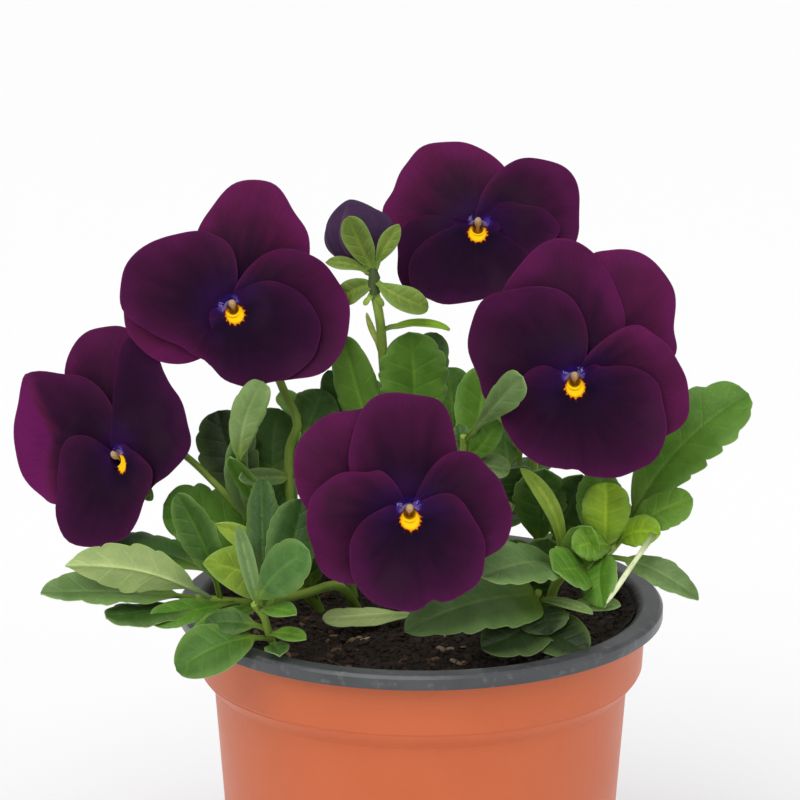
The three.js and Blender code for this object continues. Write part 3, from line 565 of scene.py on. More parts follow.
class Stock:
    """Thin closed sheets and threads of one piece, with the values that its material reads."""

    def __init__(self, **sizes):
        self.sizes = sizes
        self.points, self.quads, self.edges, self.count = [], [], [], 0
        self.values = {name: [] for name in sizes}

    def keep(self, points, values):
        points = np.asarray(points, float).reshape(-1, 3)
        for name, size in self.sizes.items():
            given = np.asarray(values.get(name, 0.0), float)
            given = given.reshape(-1, size) if given.ndim > 1 else given
            self.values[name].append(np.broadcast_to(given, (len(points), size)))
        self.points.append(points)
        first, self.count = self.count, self.count + len(points)
        return first

    def face(self, *corners):
        self.quads.append(np.stack([corner.ravel() for corner in corners], axis=1))

    def sheet(self, front, back, values, back_values):
        """A sheet between two faces, each the same rows of points. The front is seen with its rows going up
        and its columns going right."""
        rows, columns = front.shape[:2]
        ids = np.arange(rows * columns).reshape(rows, columns)
        a = self.keep(front, values) + ids
        b = self.keep(back, back_values) + ids
        self.face(a[:-1, :-1], a[:-1, 1:], a[1:, 1:], a[1:, :-1])
        self.face(b[:-1, :-1], b[1:, :-1], b[1:, 1:], b[:-1, 1:])
        self.face(a[:-1, 0], a[1:, 0], b[1:, 0], b[:-1, 0])
        self.face(a[1:, -1], a[:-1, -1], b[:-1, -1], b[1:, -1])
        self.face(a[0, 1:], a[0, :-1], b[0, :-1], b[0, 1:])
        self.face(a[-1, :-1], a[-1, 1:], b[-1, 1:], b[-1, :-1])

    def wrap(self, rings, values):
        """A body closed all the way round: rings of points that start and end in a point."""
        count, sides = rings.shape[0] - 2, rings.shape[1]
        low = self.keep(rings[0, 0], {k: v[0, :1] for k, v in values.items()})
        body = self.keep(rings[1:-1], {k: v[1:-1] for k, v in values.items()})
        high = self.keep(rings[-1, 0], {k: v[-1, :1] for k, v in values.items()})
        ids = body + np.arange(count * sides).reshape(count, sides)
        after = np.roll(ids, -1, axis=1)
        low, high = np.full(sides, low), np.full(sides, high)
        self.face(ids[:-1], after[:-1], after[1:], ids[1:])
        self.face(low, after[0], ids[0], low)
        self.face(high, ids[-1], after[-1], high)

    def thread(self, points, girth, **values):
        """A centre line that the stalk tree thickens to its girth."""
        first = self.keep(points, dict(values, girth=np.asarray(girth, float).reshape(-1, 1)))
        self.edges += [(first + i, first + i + 1) for i in range(len(points) - 1)]

    def mesh(self, name):
        mesh = bpy.data.meshes.new(name)
        faces = [q[:3] if q[0] == q[3] else q for q in np.vstack(self.quads).tolist()]
        mesh.from_pydata((np.vstack(self.points) * MM).tolist(), self.edges, faces)
        kinds = {1: ("FLOAT", "value"), 3: ("FLOAT_VECTOR", "vector"), 4: ("FLOAT_COLOR", "color")}
        for label, size in self.sizes.items():
            kind, field = kinds[size]
            stored = mesh.attributes.new(label, kind, "POINT")
            stored.data.foreach_set(field, np.vstack(self.values[label]).astype(np.float32).ravel())
        return mesh


board, wires = new_shape("stalks", {"Sides": 10, "Flute depth": 0.09, "Flutes": 5.0})
girth = board.node("InputNamedAttribute", {"Name": "girth"})
threads = wires["Geometry"].into("SeparateGeometry", {"Selection": girth})
at = board.node("InputPosition")
x, y, _ = at.parts()
swollen = 1 + wires["Flute depth"] * board.sum("COSINE", board.sum("ARCTAN2", y, x) * wires["Flutes"])
fluted = at.into("VectorMath", {"Scale": swollen}, operation="SCALE")
ring = board.node("CurvePrimitiveCircle", {"Resolution": wires["Sides"], "Radius": MM})
swept = {"Profile Curve": ring.into("SetPosition", {"Position": fluted}), "Scale": girth, "Fill Caps": True}
tubes = threads.into("MeshToCurve").into("CurveToMesh", swept)
whole = board.node("JoinGeometry", {"Geometry": [threads.other("Inverted"), tubes]})
stalk_tree = close_shape(wires, whole)

# The shady and dark greens are darker copies for leaves that lie in shade deep in the plant: painted shade.
GREENS = {
    "fresh": ("4a7622", "6c9832"), "blue": ("486f32", "628e44"), "dark": ("30501d", "48692d"),
    "pale": ("a8b85c", "c2d076"), "lime": ("7ca41e", "9cbc32"), "grey": ("617b49", "7f9759"),
    "stem": ("6a8430", "90a848"), "sepal": ("5f8f30", "7faa48"), "bright": ("5f8a2a", "7ca63a"),
    "deep": ("395b1e", "4b7229"), "olive": ("84a034", "a2b84a"), "sage": ("547040", "6c8850"),
    "shady": ("25341b", "384c25"), "straw": ("c6cfa6", "d6dcba"), "cup": ("5a6c22", "78903a"),
}
luck = np.random.default_rng(2026)
LEAF_ROWS, STALK_ROWS, LEAF_COLUMNS = 52, 7, 18
WIDEST = 0.6  # where along its blade a leaf is widest
STALK_HALF, TIP_HALF = 0.7, 0.12
BLADE_THICK, EDGE_THICK, STALK_THICK = 0.34, 0.16, 1.0
MIDRIB_SUNK, RIB_HIGH, GROOVE_DEEP = 0.3, 0.75, 0.28
FULL_TURN = 2 * np.pi


def bowed(start, end, face, bow, side):
    """The bent middle line of a leaf. It gives the points, and which way is right and up at each."""
    along = unit(end - start)
    across = unit(np.cross(along, face))
    up = np.cross(across, along)
    middle = (start + end) / 2 + 2 * bow * up + 2 * side * across

    def line(t):
        t = t[:, None]
        point = (1 - t) ** 2 * start + 2 * t * (1 - t) * middle + t**2 * end
        ahead = unit(2 * (1 - t) * (middle - start) + 2 * t * (end - middle))
        right = unit(np.cross(ahead, up))
        return point, right, np.cross(right, ahead)

    return line


def toothed(s, teeth, wide):
    """Blunt teeth along one edge. Each swells towards the tip of the leaf and is cut back short there."""
    if not teeth:
        return 1 + 0.03 * np.sin(9 * s + luck.uniform(0, 6.28))
    along = teeth * (s - 0.12) / 0.88 + luck.uniform(-0.3, 0.3)
    along = along + 0.12 * np.sin(5 * s + luck.uniform(0, 6.28))
    part = along % 1.0
    cut = luck.uniform(0.05, 0.12) * (1.7 if wide > 13 else 1.0) * np.clip(s * 3 - 0.4, 0, 1)
    return 1 - cut * (1 - part**0.5 * (1 - part**10) * 1.1)


def ridge(x, half_width):
    """1 in the middle, and 0 away from it."""
    return np.exp(-((x / half_width) ** 2))


def leaf(stock, root, tip, wide, face, bow, side, bare, tint, teeth, widest=None, blunt=None):
    """One leaf on its stalk. It keeps the frame's middle line, width and fold, and adds blunt teeth, a
    sunken midrib, ripples between the side veins and thin edges."""
    root, tip, face = (np.array(v, float) for v in (root, tip, face))
    start = root + 0.6 * unit(tip - root)
    # Rows along its middle line, first up the bare stalk, and lanes across it, closer towards its middle.
    s = np.linspace(0, 1, LEAF_ROWS) ** 0.94
    stalk_t = np.linspace(0, bare, STALK_ROWS, endpoint=False) if bare else np.zeros(0)
    t = np.concatenate([stalk_t, bare + (1 - bare) * s])
    s = np.concatenate([np.full(len(stalk_t), -0.01), s])
    length = np.linalg.norm(tip - start) * (1 - bare)
    lane = np.linspace(-1, 1, LEAF_COLUMNS + 1)
    lane = np.sign(lane) * np.abs(lane) ** 1.25
    # Its outline, with teeth along both edges.
    inside = np.clip(s, 0, 1)
    widest = widest or WIDEST + luck.uniform(-0.06, 0.07)
    blunt = blunt or luck.uniform(0.42, 0.58)
    power = blunt * widest / (1 - widest)
    half = (inside / widest) ** power * ((1 - inside) / (1 - widest)) ** blunt * wide / 2
    half = np.maximum(half, STALK_HALF * (1 - inside) + TIP_HALF)
    half = np.where(s < 0, STALK_HALF, half)
    left_edge, right_edge = (half * toothed(inside, teeth, wide) for _ in range(2))
    x = np.where(lane[None] < 0, left_edge[:, None], right_edge[:, None]) * lane[None]
    fold = luck.uniform(-0.05, 0.3) if teeth else 0.05
    wave = luck.uniform(0, FULL_TURN)
    twist = luck.uniform(-0.4, 0.4) if teeth else 0.0
    droop = luck.uniform(0.0, 0.22) if teeth else 0.0
    inside, half, share = inside[:, None], half[:, None], np.abs(lane)[None]
    # How high each point lies off the middle line's plane, and how thick the blade is there.
    veins = 4.0 if wide < 9 else 5.0
    ripple = np.abs(np.sin(np.pi * (inside * (veins + 1) - 0.9 * share**0.8))) ** 0.7 - 0.6
    flutter = np.sin(FULL_TURN * teeth * 0.5 * inside + wave + lane)
    blade = 0.016 * wide * ripple * (share * (1 - share**3)) * 1.6 + 0.05 * half * flutter * share**3
    blade = blade - MIDRIB_SUNK * ridge(x, 0.8) - droop * half * share**4
    z = fold * half * share**1.35 + np.clip(inside * 5, 0, 1) * blade
    z = z + 0.035 * half * math.sin(wave) * lane[None]
    stalk = 1 - np.clip(inside * 9, 0, 1)
    rounded = STALK_THICK * np.sqrt(np.clip(1 - share**2, 0, 1)) + TIP_HALF
    thick = (EDGE_THICK + BLADE_THICK * (1 - share**4)) * (1 - stalk) + rounded * stalk
    rib = RIB_HIGH * ridge(x, 0.5) * (1 - 0.75 * inside) * (1 - stalk)
    groove = GROOVE_DEEP * ridge(x, 0.3) * stalk
    # Both faces along the bent line, which twists about itself.
    centre, right, up = bowed(start, tip, face, bow, side)(t)
    twist = twist * (inside - 0.5)
    right, up = right * np.cos(twist) + up * np.sin(twist), up * np.cos(twist) - right * np.sin(twist)
    spine = centre[:, None] + right[:, None] * x[..., None]
    levels = (z + thick / 2 - groove, z - thick / 2 - rib)
    front, back = (spine + up[:, None] * level[..., None] for level in levels)
    stem_green, deep, light = (np.array(shade(c)) for c in (GREENS["stem"][0], *GREENS[tint]))
    mixed = deep + (light - deep) * luck.uniform(0.15, 0.85)
    grid = np.ones((len(t), LEAF_COLUMNS + 1))
    green = stem_green + (mixed - stem_green) * np.clip(inside * 3.5, 0, 1)[..., None] * grid[..., None]
    place = np.stack([lane[None] * grid, s[:, None] * grid, veins * grid], axis=-1)
    size = np.stack([x, s[:, None] * length * grid, length * grid], axis=-1)
    values = {"green": green, "place": place, "size": size}
    stock.sheet(front, back, values, dict(values, under=1.0))


def stem_values(count):
    deep, light = (np.array(shade(c)) for c in GREENS["stem"])
    return {"green": deep + (light - deep) * np.linspace(0, 1, count)[:, None]}


# The stalks and cups of the blooms grow with the shoots, so the blooms' places come here.
BLOOMS = {
    "left": {"centre": [-73, 0, 135], "yaw": -32, "lean": 10, "shoot": "crown_left", "down": 206,
             "eye": {"turned": -52, "narrow": 1.45, "aside": 2.6},
             "stalk": [[-31.5, -1, 118], [-42, -4, 122], [-49, -4, 129], [-57, 2, 135], [-63, 8, 137]]},
    "crown_left": {"centre": [-45, -5, 174], "yaw": -4, "lean": 10, "shoot": "crown_left", "down": 147},
    "crown_back": {"centre": [14, 15, 189], "yaw": 0, "lean": 28, "shoot": "crown_back", "down": 186},
    "right": {"centre": [36, -25, 161], "yaw": -4, "lean": 10, "shoot": "right", "down": 170,
              "stalk": [[48, -16, 119], [52, -13, 128], [53, -11, 136], [50, -9, 146], [43, -10, 157],
                        [39, -13, 163]]},
    "front": {"centre": [-3, -50, 136], "yaw": 2, "lean": 10, "shoot": "centre", "down": 173,
              "stalk": [[6, -12, 120], [4, -27, 124], [0, -37, 130], [-2, -42, 137]]},
}


def facing(centre, yaw, lean):
    """A bloom's own frame, its centre and axes. As one faces it, x is right, y is up and z comes out."""
    yaw, lean = math.radians(yaw), math.radians(lean)
    out = np.array([math.sin(yaw) * math.cos(lean), -math.cos(yaw) * math.cos(lean), math.sin(lean)])
    right = unit(np.cross([0, 0, 1], out))
    return np.array(centre, float), np.stack([right, np.cross(out, right), out])


def placed(own_frame, points):
    centre, axes = own_frame
    return centre + np.asarray(points, float) @ axes


for bloom in BLOOMS.values():
    bloom["own"] = facing(bloom["centre"], bloom["yaw"], bloom["lean"])

green_material, board = new_material("leaf green")
green, under = board.read("green", "Color"), board.read("under")
lane, share, veins = board.read("place", "Vector").parts()
across, _, length = board.read("size", "Vector").parts()
bladed = eased(length, 1, 3) * eased(share, 0.0, 0.12)
width = abs(lane)
midrib = bladed * eased(abs(across), 0.7, 0.1) * eased(share, 1.0, 0.7)
phase = share * (veins + 1) - 0.9 * width**0.8
from_vein = (0.5 - abs(board.sum("FRACT", phase) - 0.5)) * (length / (veins + 1))
side_vein = bladed * eased(from_vein, 0.55, 0.0) * eased(width, 1.0, 0.6)
cells = {"Vector": board.node("TexCoord", out="Object"), "Scale": 1 / (1.5 * MM)}
net = bladed * eased(board.node("TexVoronoi", cells, feature="DISTANCE_TO_EDGE"), 0.09, 0.0)
cloudy = board.mix(1.0, green, (0.68, 0.74, 0.62, 1), "MULTIPLY")
colour = board.mix(eased(board.spot(6, 4), 0.3, 0.7), cloudy, green)
colour = board.mix(under * 0.5, colour, "a3b98a")
# A darker green in the fine net between the veins and towards the foot of each blade: painted shade.
painted_shade = board.mix(1.0, colour, (0.8, 0.86, 0.75, 1), "MULTIPLY")
colour = board.glazed(colour, (0.16 * net, painted_shade), (bladed * eased(share, 0.5, 0.1) * 0.6, painted_shade))
lit = board.mix(1.0, colour, (1.75, 1.55, 1.6, 1), "MULTIPLY")
colour = board.glazed(
    colour, (0.2 * side_vein, lit), (0.55 * midrib, lit),
    (bladed * eased(width, 0.5, 1.0) * 0.16, "9fc46a"),
    (bladed * eased(width, 0.965, 0.99) * 0.22, "b4c98a"),
)
rough = 0.4 + 0.16 * board.spot(1.2, 3) + 0.2 * under
relief = 0.6 * board.spot(0.7, 2) - 0.5 * side_vein - 0.4 * midrib - 0.22 * net
board.finish(
    colour, rough, relief, 0.16, Specular_IOR_Level=0.22, Subsurface_Weight=0.12,
    Subsurface_Radius=(0.35, 0.6, 0.12), Subsurface_Scale=1.2 * MM,
)

STEM_POINTS, STALK_POINTS = 44, 36
STEM_SHARE = 0.72  # a stem is this much slimmer than the frame's plain one
STALK_GIRTH = 0.85
SEPALS, SEPAL_SPACING, SEPAL_REACH, SEPAL_WIDE = 5, 1.08, 11, 4.2  # the spacing is in radians
SEPAL_FOOT = [0, 0, -3.3]  # in the bloom's own frame, as the stalk's neck is
BUD_CUP_FROM = 170  # what grows above this on the bud's shoot are sepals, with whole edges
for name, shoot in SHOOTS.items():
    stock = Stock(green=4, place=3, size=3, girth=1, under=1)
    stem = smooth_path(shoot["stem"], STEM_POINTS)
    stock.thread(stem, STEM_SHARE * np.linspace(*shoot["radii"], STEM_POINTS), **stem_values(STEM_POINTS))
    for place, tip, wide, face, bow, side, bare, tint, *own_form in shoot["leaves"]:
        if isinstance(place, list):
            root = place
        else:
            root = [np.interp(place * (STEM_POINTS - 1), range(STEM_POINTS), stem[:, k]) for k in range(3)]
        teeth = 6 if wide > 16 else 5 if wide >= 10 else 4 if wide >= 6 else 0
        if name == "bud" and root[2] > BUD_CUP_FROM:
            teeth = 0
        form = {"teeth": teeth, **(own_form[0] if own_form else {})}
        leaf(stock, root, tip, wide, face, bow, side, bare, tint, **form)
    for bloom in (b for b in BLOOMS.values() if b["shoot"] == name):
        own = bloom["own"]
        neck = placed(own, [[0, 2, -10], [0, 0.5, -6], SEPAL_FOOT]).tolist()
        line = smooth_path(bloom.get("stalk", [shoot["stem"][-1]]) + neck, STALK_POINTS)
        stock.thread(line, np.full(STALK_POINTS, STALK_GIRTH), **stem_values(STALK_POINTS))
        for k in range(SEPALS):
            away = math.radians(bloom["down"]) + math.pi + (k - SEPALS // 2) * SEPAL_SPACING
            sepal_tip = placed(own, [SEPAL_REACH * math.sin(away), SEPAL_REACH * math.cos(away), -5.5])
            leaf(stock, placed(own, SEPAL_FOOT), sepal_tip, SEPAL_WIDE, own[1][2], 0.3, 0, 0, "sepal", 0)
    if name == "bud":
        cup = placed(facing([-13, -2, 186], -166, 30), [[0, 0, -5], [0, 0, -3.8], [0, 0, -2.5]])
        stock.thread(cup, [1.4, 1.8, 2.0], **stem_values(3))
        knot = [
            [-11.4, -7, 177.5], [-11.1, -7, 179], [-11.6, -6.9, 180.6], [-11.2, -6.7, 182.2],
            [-11.8, -6, 185],
        ]
        stock.thread(np.array(knot), [1.1, 1.3, 1.1, 1.4, 0.8], green=shade("48542f"))
    piece = shaped("leaves_" + name, stock.mesh("leaves_" + name), stalk_tree, green_material, crease=70)
    fasten(piece, "leaf", "shoot_" + name)


# A bloom is five velvety petals on one flat face: two at the back, two at the sides, and a broad one at
# the bottom whose foot runs into the throat and on into a short spur behind. The petals are thin and soft,
# dark in the middle, with fine veins, and the throat has a yellow eye.
PETALS = {}
# A petal is given by the angle where it begins, how warm its purple is (its own hue, and painted light
# where it is lit or backlit), the radii of its edge at each 15 degrees clockwise from there and, if it has
# one, the angle of its crease or the place of its bend.
PETALS["left"] = [
    [-90, 0.5, [12.5, 22, 31.5, 34.5, 33.5, 30, 26, 21.5, 16.5, 9]],
    [-45, 0.3, [9.5, 16, 21, 21, 20, 19, 17, 15, 12, 8]],
    [-180, 0.3, [6, 12, 18.5, 25, 30.5, 33.5, 35, 35, 27, 21.5, 13], dict(bend=-19.5)],
    [-30, 0.1, [9, 29.5, 29, 26.5, 25.5, 24.5, 23.5, 17.5, 13.5, 12, 8]],
    [-15, 0.25, [3.5, 4.5, 5.5, 6.5, 7.5, 9.5, 12.5, 13, 13, 14.5, 17, 19, 20.5, 23, 23.5, 21.5, 18.5,
                 17, 16.5, 15, 10.5, 6]],
]
PETALS["crown_left"] = [
    [-75, 0.8, [8.5, 15.5, 19.5, 25, 30.5, 31.5, 28, 25, 20, 14, 7.5]],
    [-180, 0.8, [8, 12.5, 19, 23.5, 26, 27, 27.5, 26, 20, 15, 10]],
    [-195, 0.4, [6.5, 14, 14, 14.5, 16.5, 21, 26.5, 28, 27.5, 24, 21.5, 19, 14]],
    [-15, 0.45, [4, 8.5, 16, 21, 24, 26.5, 28.5, 28, 27, 23, 19, 12]],
    [-15, 0.15, [4, 5, 6.5, 10, 13.5, 17, 20, 22, 22.5, 21.5, 19.5, 19, 17.5, 15, 12.5, 7, 6, 5.5, 5]],
]
PETALS["crown_back"] = [
    [-135, 0.75, [7.5, 15.5, 21.5, 24, 24, 25.5, 26.5, 25.5, 23.5, 20, 17, 10.5]],
    [-15, 0.4, [7, 15, 22.5, 26.5, 28, 26, 25, 21.5, 12]],
    [-180, 0.15, [7.5, 16, 22.5, 22.5, 20.5, 19, 14, 4.5, 4, 3.5]],
    [15, 0.2, [6, 10, 13, 17.5, 20, 17.5, 14, 11.5, 7]],
    [30, 0.1, [4, 4.5, 5, 5.5, 6, 15, 19, 19, 18.5, 18.5, 20, 22, 22.5, 19.5, 13.5, 7, 5.5, 4]],
]
PETALS["right"] = [
    [-15, 0.7, [26, 32.5, 33.5, 32, 27, 24, 16]],
    [-75, 0.45, [18, 26, 29.5, 33, 33, 27.5, 21.5, 16, 7.5]],
    [-135, 0.3, [13, 20.5, 22.5, 26, 28, 28.5, 25.5, 23, 18.5, 11.5]],
    [15, 0.6, [10.5, 19.5, 22, 24.5, 26.5, 27.5, 24.5, 18.5, 11]],
    [30, 0.3, [6.5, 8, 15, 19.5, 21.5, 25, 26, 24.5, 23, 21, 20.5, 20.5, 20, 19.5, 17, 13.5, 11, 8],
     dict(fold=178)],
]
PETALS["front"] = [
    [-150, 0.6, [8.5, 16.5, 20.5, 23, 27, 29.5, 30, 27.5, 24.5, 18]],
    [-90, 0.45, [10, 15, 19.5, 24, 28, 27.5, 27, 21, 15.5, 11.5, 6.5]],
    [-180, 0.5, [11, 17, 22, 24, 23.5, 23.5, 22, 19, 14, 11]],
    [15, 0.4, [15.5, 20, 21, 22.5, 23.5, 23, 20, 17.5, 11]],
    [30, 0.3, [5.5, 10, 12.5, 14, 17, 20, 22, 21.5, 21, 22, 21.5, 21, 19, 16, 13, 9.5, 6.5, 5],
     dict(fold=166)],
]
PETAL_COLUMNS, PETAL_RINGS, PETAL_THICK = 72, 30, 0.34
PETAL_LIFTS = (0.4, 1.3, 2.2, 3.1, 4.0)
PETAL_LEAN = (-2.4, -1.8, -0.8, 0.0, 0.7)  # how far the outer part of each petal leans off the face
PETAL_CURL = (-0.9, -0.7, 0.2, 0.3, 0.5)  # how far its edge curls on from there
THROAT_RADIUS = 2.6
THROAT_LAYER = 5


def eye_values(x, y, down, layer, turned=0.0, narrow=1.0, aside=0.0):
    """The place of each point as seen from the throat, turned so that the lower petal points down. Where a
    petal folds over the eye, what still shows of it is narrower and to one side."""
    turn = math.radians(down + turned - 180)
    c, s = math.cos(turn), math.sin(turn)
    return np.stack([narrow * (x * c - y * s) - aside, x * s + y * c, 0 * x + layer], axis=-1)


def through(knots, place):
    """A smooth run through evenly spaced values."""
    knots = np.array(knots, float)
    k = np.clip(place.astype(int), 0, len(knots) - 2)
    knots = np.concatenate([[2 * knots[0] - knots[1]], knots, [2 * knots[-1] - knots[-2]]])
    a, b, c, d = (knots[k + i] for i in range(4))
    t = place - k
    return b + 0.5 * t * (c - a + t * (2 * a - 5 * b + 4 * c - d + t * (3 * (b - c) + d - a)))


def petal(stock, own, layer, down, begin, warm, edge, fold=None, bend=None, **eye_shape):
    """A fan from the throat. It thins towards the edge, waves there, and has shallow pleats that run out
    from the throat. Past a bend the petal turns back, and its colour there is brightened towards magenta as
    painted light."""
    place = np.linspace(0, len(edge) + 1, PETAL_COLUMNS + 1)
    edge = through([THROAT_RADIUS, *edge, THROAT_RADIUS], place)
    angle = np.radians(begin + 15 * place)
    swing = angle - angle.mean()
    out = np.linspace(0, 1, PETAL_RINGS) ** 1.15
    out = np.concatenate([out * 0.988, [1.0]])[:, None]
    # The outline is a little uneven, and notched where a crease meets it.
    start = luck.uniform(0, 6.28, 6)
    uneven = 0.008 * np.sin(7 * swing + start[0]) + 0.006 * np.sin(16 * swing + start[1])
    crease = ridge(angle - math.radians(fold), 0.06) if fold else 0 * swing
    edge = edge * (1 + np.clip(edge / 12, 0, 1) * uneven - 0.045 * crease)
    inner = np.minimum(1.9, 0.8 * edge)
    radius = inner + out * (edge - inner)
    x, y = radius * np.sin(angle), radius * np.cos(angle)
    # How far each point lies in front of the bloom's face.
    far = radius / 28
    frill = np.sin(4.3 * swing + start[2]) * 0.3 + np.sin(9 * swing + start[3]) * 0.16
    curl = PETAL_CURL[layer] * (0.8 + 0.4 * np.sin(1.7 * swing + start[4]))
    pleats = 0.05 * np.sin(13 * swing + start[5]) + 0.02 * np.sin(29 * swing)
    z = PETAL_LIFTS[layer] + PETAL_LEAN[layer] * far**2 + (frill + curl) * out**5
    z = z + pleats * out**1.2 * (1.2 - out)
    z = z - 0.75 * crease * np.clip(radius / 9 - 1, 0, 1)
    z = z + 1.1 * np.sin(x / 11 + 0.6 + down) * np.cos(y / 12 - 0.4) * np.clip(radius / 8 - 0.4, 0, 1)
    z = z + 0.55 * ridge(radius - 7, 4) - 1.1 * ridge(radius - 1.9, 2.2)
    if bend:
        past = bend - x - 0.75 * np.clip(y - 3, 0, None) + 0.5 * np.sin(y / 3)
        z = z - 0.06 * np.clip(past, 0, None) + 0.9 * ridge(past, 2.2)
        # Past the bend the purple is raised towards bright magenta: painted light.
        warm = (warm + (2 - warm) * np.clip(0.4 + past / 6, 0, 1))[..., None]
    thick = PETAL_THICK * (1 - 0.6 * out**6)
    front, back = (np.stack([x, y, z + side * thick / 2], axis=-1) for side in (1, -1))
    eye = eye_values(x, y, down, layer, **eye_shape)
    place = np.stack([swing[None] + 0 * x, out + 0 * x, radius], axis=-1)
    tuft = ridge(np.abs(eye[..., 0]) - 2.1, 0.55) * ridge(eye[..., 1] - 1.9, 0.9) * (layer in (2, 3))
    values = {"place": place, "eye": eye, "warm": warm, "beard": tuft[..., None]}
    stock.sheet(placed(own, front), placed(own, back), values, dict(values, beard=0.0))


def funnel(stock, own, down, profile, **eye_shape):
    """The throat: a small cup with a rounded lip, open a little more towards the top."""
    turn = np.linspace(FULL_TURN, 0, 48, endpoint=False)
    r, z = (np.array(v, float)[:, None] for v in zip(*profile))
    x, y = r * np.sin(turn), r * np.cos(turn)
    y = y + 0.12 * np.clip(z, 0, None) * (r > 0)
    points = np.stack([x, y, z + 0 * x], axis=-1)
    none = np.zeros((*x.shape, 1))
    values = {"place": 0 * points, "eye": eye_values(x, y, down, THROAT_LAYER, **eye_shape)}
    stock.wrap(placed(own, points), values | {"warm": none, "beard": none, "girth": none})


board, wires = new_shape("beard", {
    "Hairs per square metre": 5.5e7, "Hair length": 1.1 * MM, "Hair foot": 0.06 * MM, "Seed": 5,
})
beard = board.node("InputNamedAttribute", {"Name": "beard"})
points = wires["Geometry"].into("DistributePointsOnFaces", {
    "Selection": eased(beard, 0.2, 0.21), "Density": wires["Hairs per square metre"] * beard,
    "Seed": wires["Seed"],
})
hair = board.node("MeshCone", {
    "Vertices": 5, "Side Segments": 2, "Radius Top": wires["Hair foot"] * 0.5,
    "Radius Bottom": wires["Hair foot"], "Depth": wires["Hair length"],
})
spread = random_between((-0.55, -0.55, 0.0), (0.55, 0.55, 6.3), wires["Seed"] + 1)
turned = {"Rotate By": spread.into("EulerToRotation")}
lie = points.other("Rotation").into("RotateRotation", turned, rotation_space="LOCAL")
size = random_between(0.5, 1.15, wires["Seed"] + 2)
hairs = points.into("InstanceOnPoints", {"Instance": hair, "Rotation": lie, "Scale": size})
beard_tree = close_shape(wires, hairs)

petal_material, board = new_material("petal velvet")


def from_eye(across, up):
    """How far a point is from one in the eye, given both ways in units of the spot's own half sizes."""
    return board.sum("SQRT", across**2 + up**2)


swing, share, _ = board.read("place", "Vector").parts()
ex, ey, layer = board.read("eye", "Vector").parts()
# How warm a petal's purple is: partly its own hue, partly painted light on petals that are lit or backlit.
warm = board.read("warm")
fan = board.node("CombineXYZ", {"X": swing * 5, "Y": share * 1.1, "Z": layer * 3})
vein = eased(abs(board.noise(fan, 3.4, 3.0) - 0.5), 0.05, 0.0) * eased(share, 0.04, 0.3)
streak = board.noise(fan, 1.1, 2.0)
rim = eased(share + 0.5 * (streak - 0.5), 0.25, 1.05)
# More magenta towards the edge: partly the petal's own edge colour, partly painted light shining through
# the thin margin.
edge_magenta_and_backlight = eased(share + 0.6 * (board.spot(10, 2) - 0.5), 0.72, 1.1)
heart = board.mix(board.spot(8, 3), "1a0a1d", "250e26")
outer = board.mix(eased(warm, 0, 1), "290e2a", "591a40")
from_throat = board.sum("SQRT", ex * ex + ey * ey)
glow = eased(from_throat + 5 * (board.spot(4, 2) - 0.5), 13.0, 2.5) * eased(ey, -9.0, 1.0)
inky = eased(ey, 1.0, -2.0) * eased(from_throat + 3 * (streak - 0.5), 9.0, 3.0)
haze = from_eye(ex / 4.4, (ey - 2.2) / 2.2) + 0.9 * (board.spot(1.3, 3) - 0.5)
lilac = from_eye((abs(ex) - 2.1) / 0.9, (ey - 2.0) / 1.5) + 0.8 * (board.spot(0.6, 2) - 0.5)
patch = from_eye(ex / 2.4, (ey + 1.1) / 2.5) + 0.14 * (board.spot(0.8, 2) - 0.5)
rays = board.sum("ARCTAN2", ex, -ey) * 9 + 4 * board.spot(2.5, 1)
whisker = eased(abs(board.sum("SINE", rays)), 0.62, 1.0) * eased(ey, 1.0, -1.0)
whisker = whisker * eased(board.spot(0.7, 1), 0.25, 0.8)
colour = board.glazed(
    board.mix(rim, heart, outer),
    # Grey-brown clouds over the velvet: painted sheen.
    (eased(board.spot(14, 3), 0.48, 0.72) * 0.45, "2e1c2a"),
    (edge_magenta_and_backlight * (0.15 + 0.4 * eased(warm, 0, 1)), "681c58"),
    # Bright magenta where a petal bends back: painted light.
    (eased(warm, 0.9, 2.0) * (0.45 + 0.5 * board.spot(7, 3)), "621552"),
    (0.08 * vein, "130613"),
    # A thin lighter line along the very edge: painted highlight.
    (eased(share, 0.975, 1.0) * 0.3 * board.spot(9, 1), "7a2a66"),
    (glow * 0.36, "361254"),
    (inky * 0.8, "0e0612"),
    (eased(haze, 1.0, 0.45) * 0.5, "3a2088"),
    (eased(lilac, 1.0, 0.3) * 0.5, "5a44ae"),
    (eased(patch - 0.45 * whisker, 1.14, 0.98) * 0.85, "3e100e"),
    (eased(patch - 0.24 * whisker, 1.0, 0.86), "dc7c0c"),
    (eased(patch, 0.98, 0.7), "f7c812"),
    (eased(from_throat, 2.7, 2.4) * eased(ey, 0.6, 1.5) * 0.7, "7d6a86"),
)
board.finish(
    colour, 0.7 + 0.16 * board.spot(0.6, 2), 0.6 * board.spot(0.35, 2) - 0.3 * vein, 0.07,
    Specular_IOR_Level=0.04, Sheen_Weight=0.05, Sheen_Roughness=0.4, Sheen_Tint="b04a96",
    Subsurface_Weight=0.1, Subsurface_Radius=(0.6, 0.1, 0.4), Subsurface_Scale=0.8 * MM,
)

beard_material, board = new_material("beard hairs")
colour = board.mix(board.spot(1.0, 2), "7d66c6", "c9bbea")
board.finish(colour, 0.55 + 0.2 * board.spot(0.5, 1), board.spot(0.3, 1), 0.02)

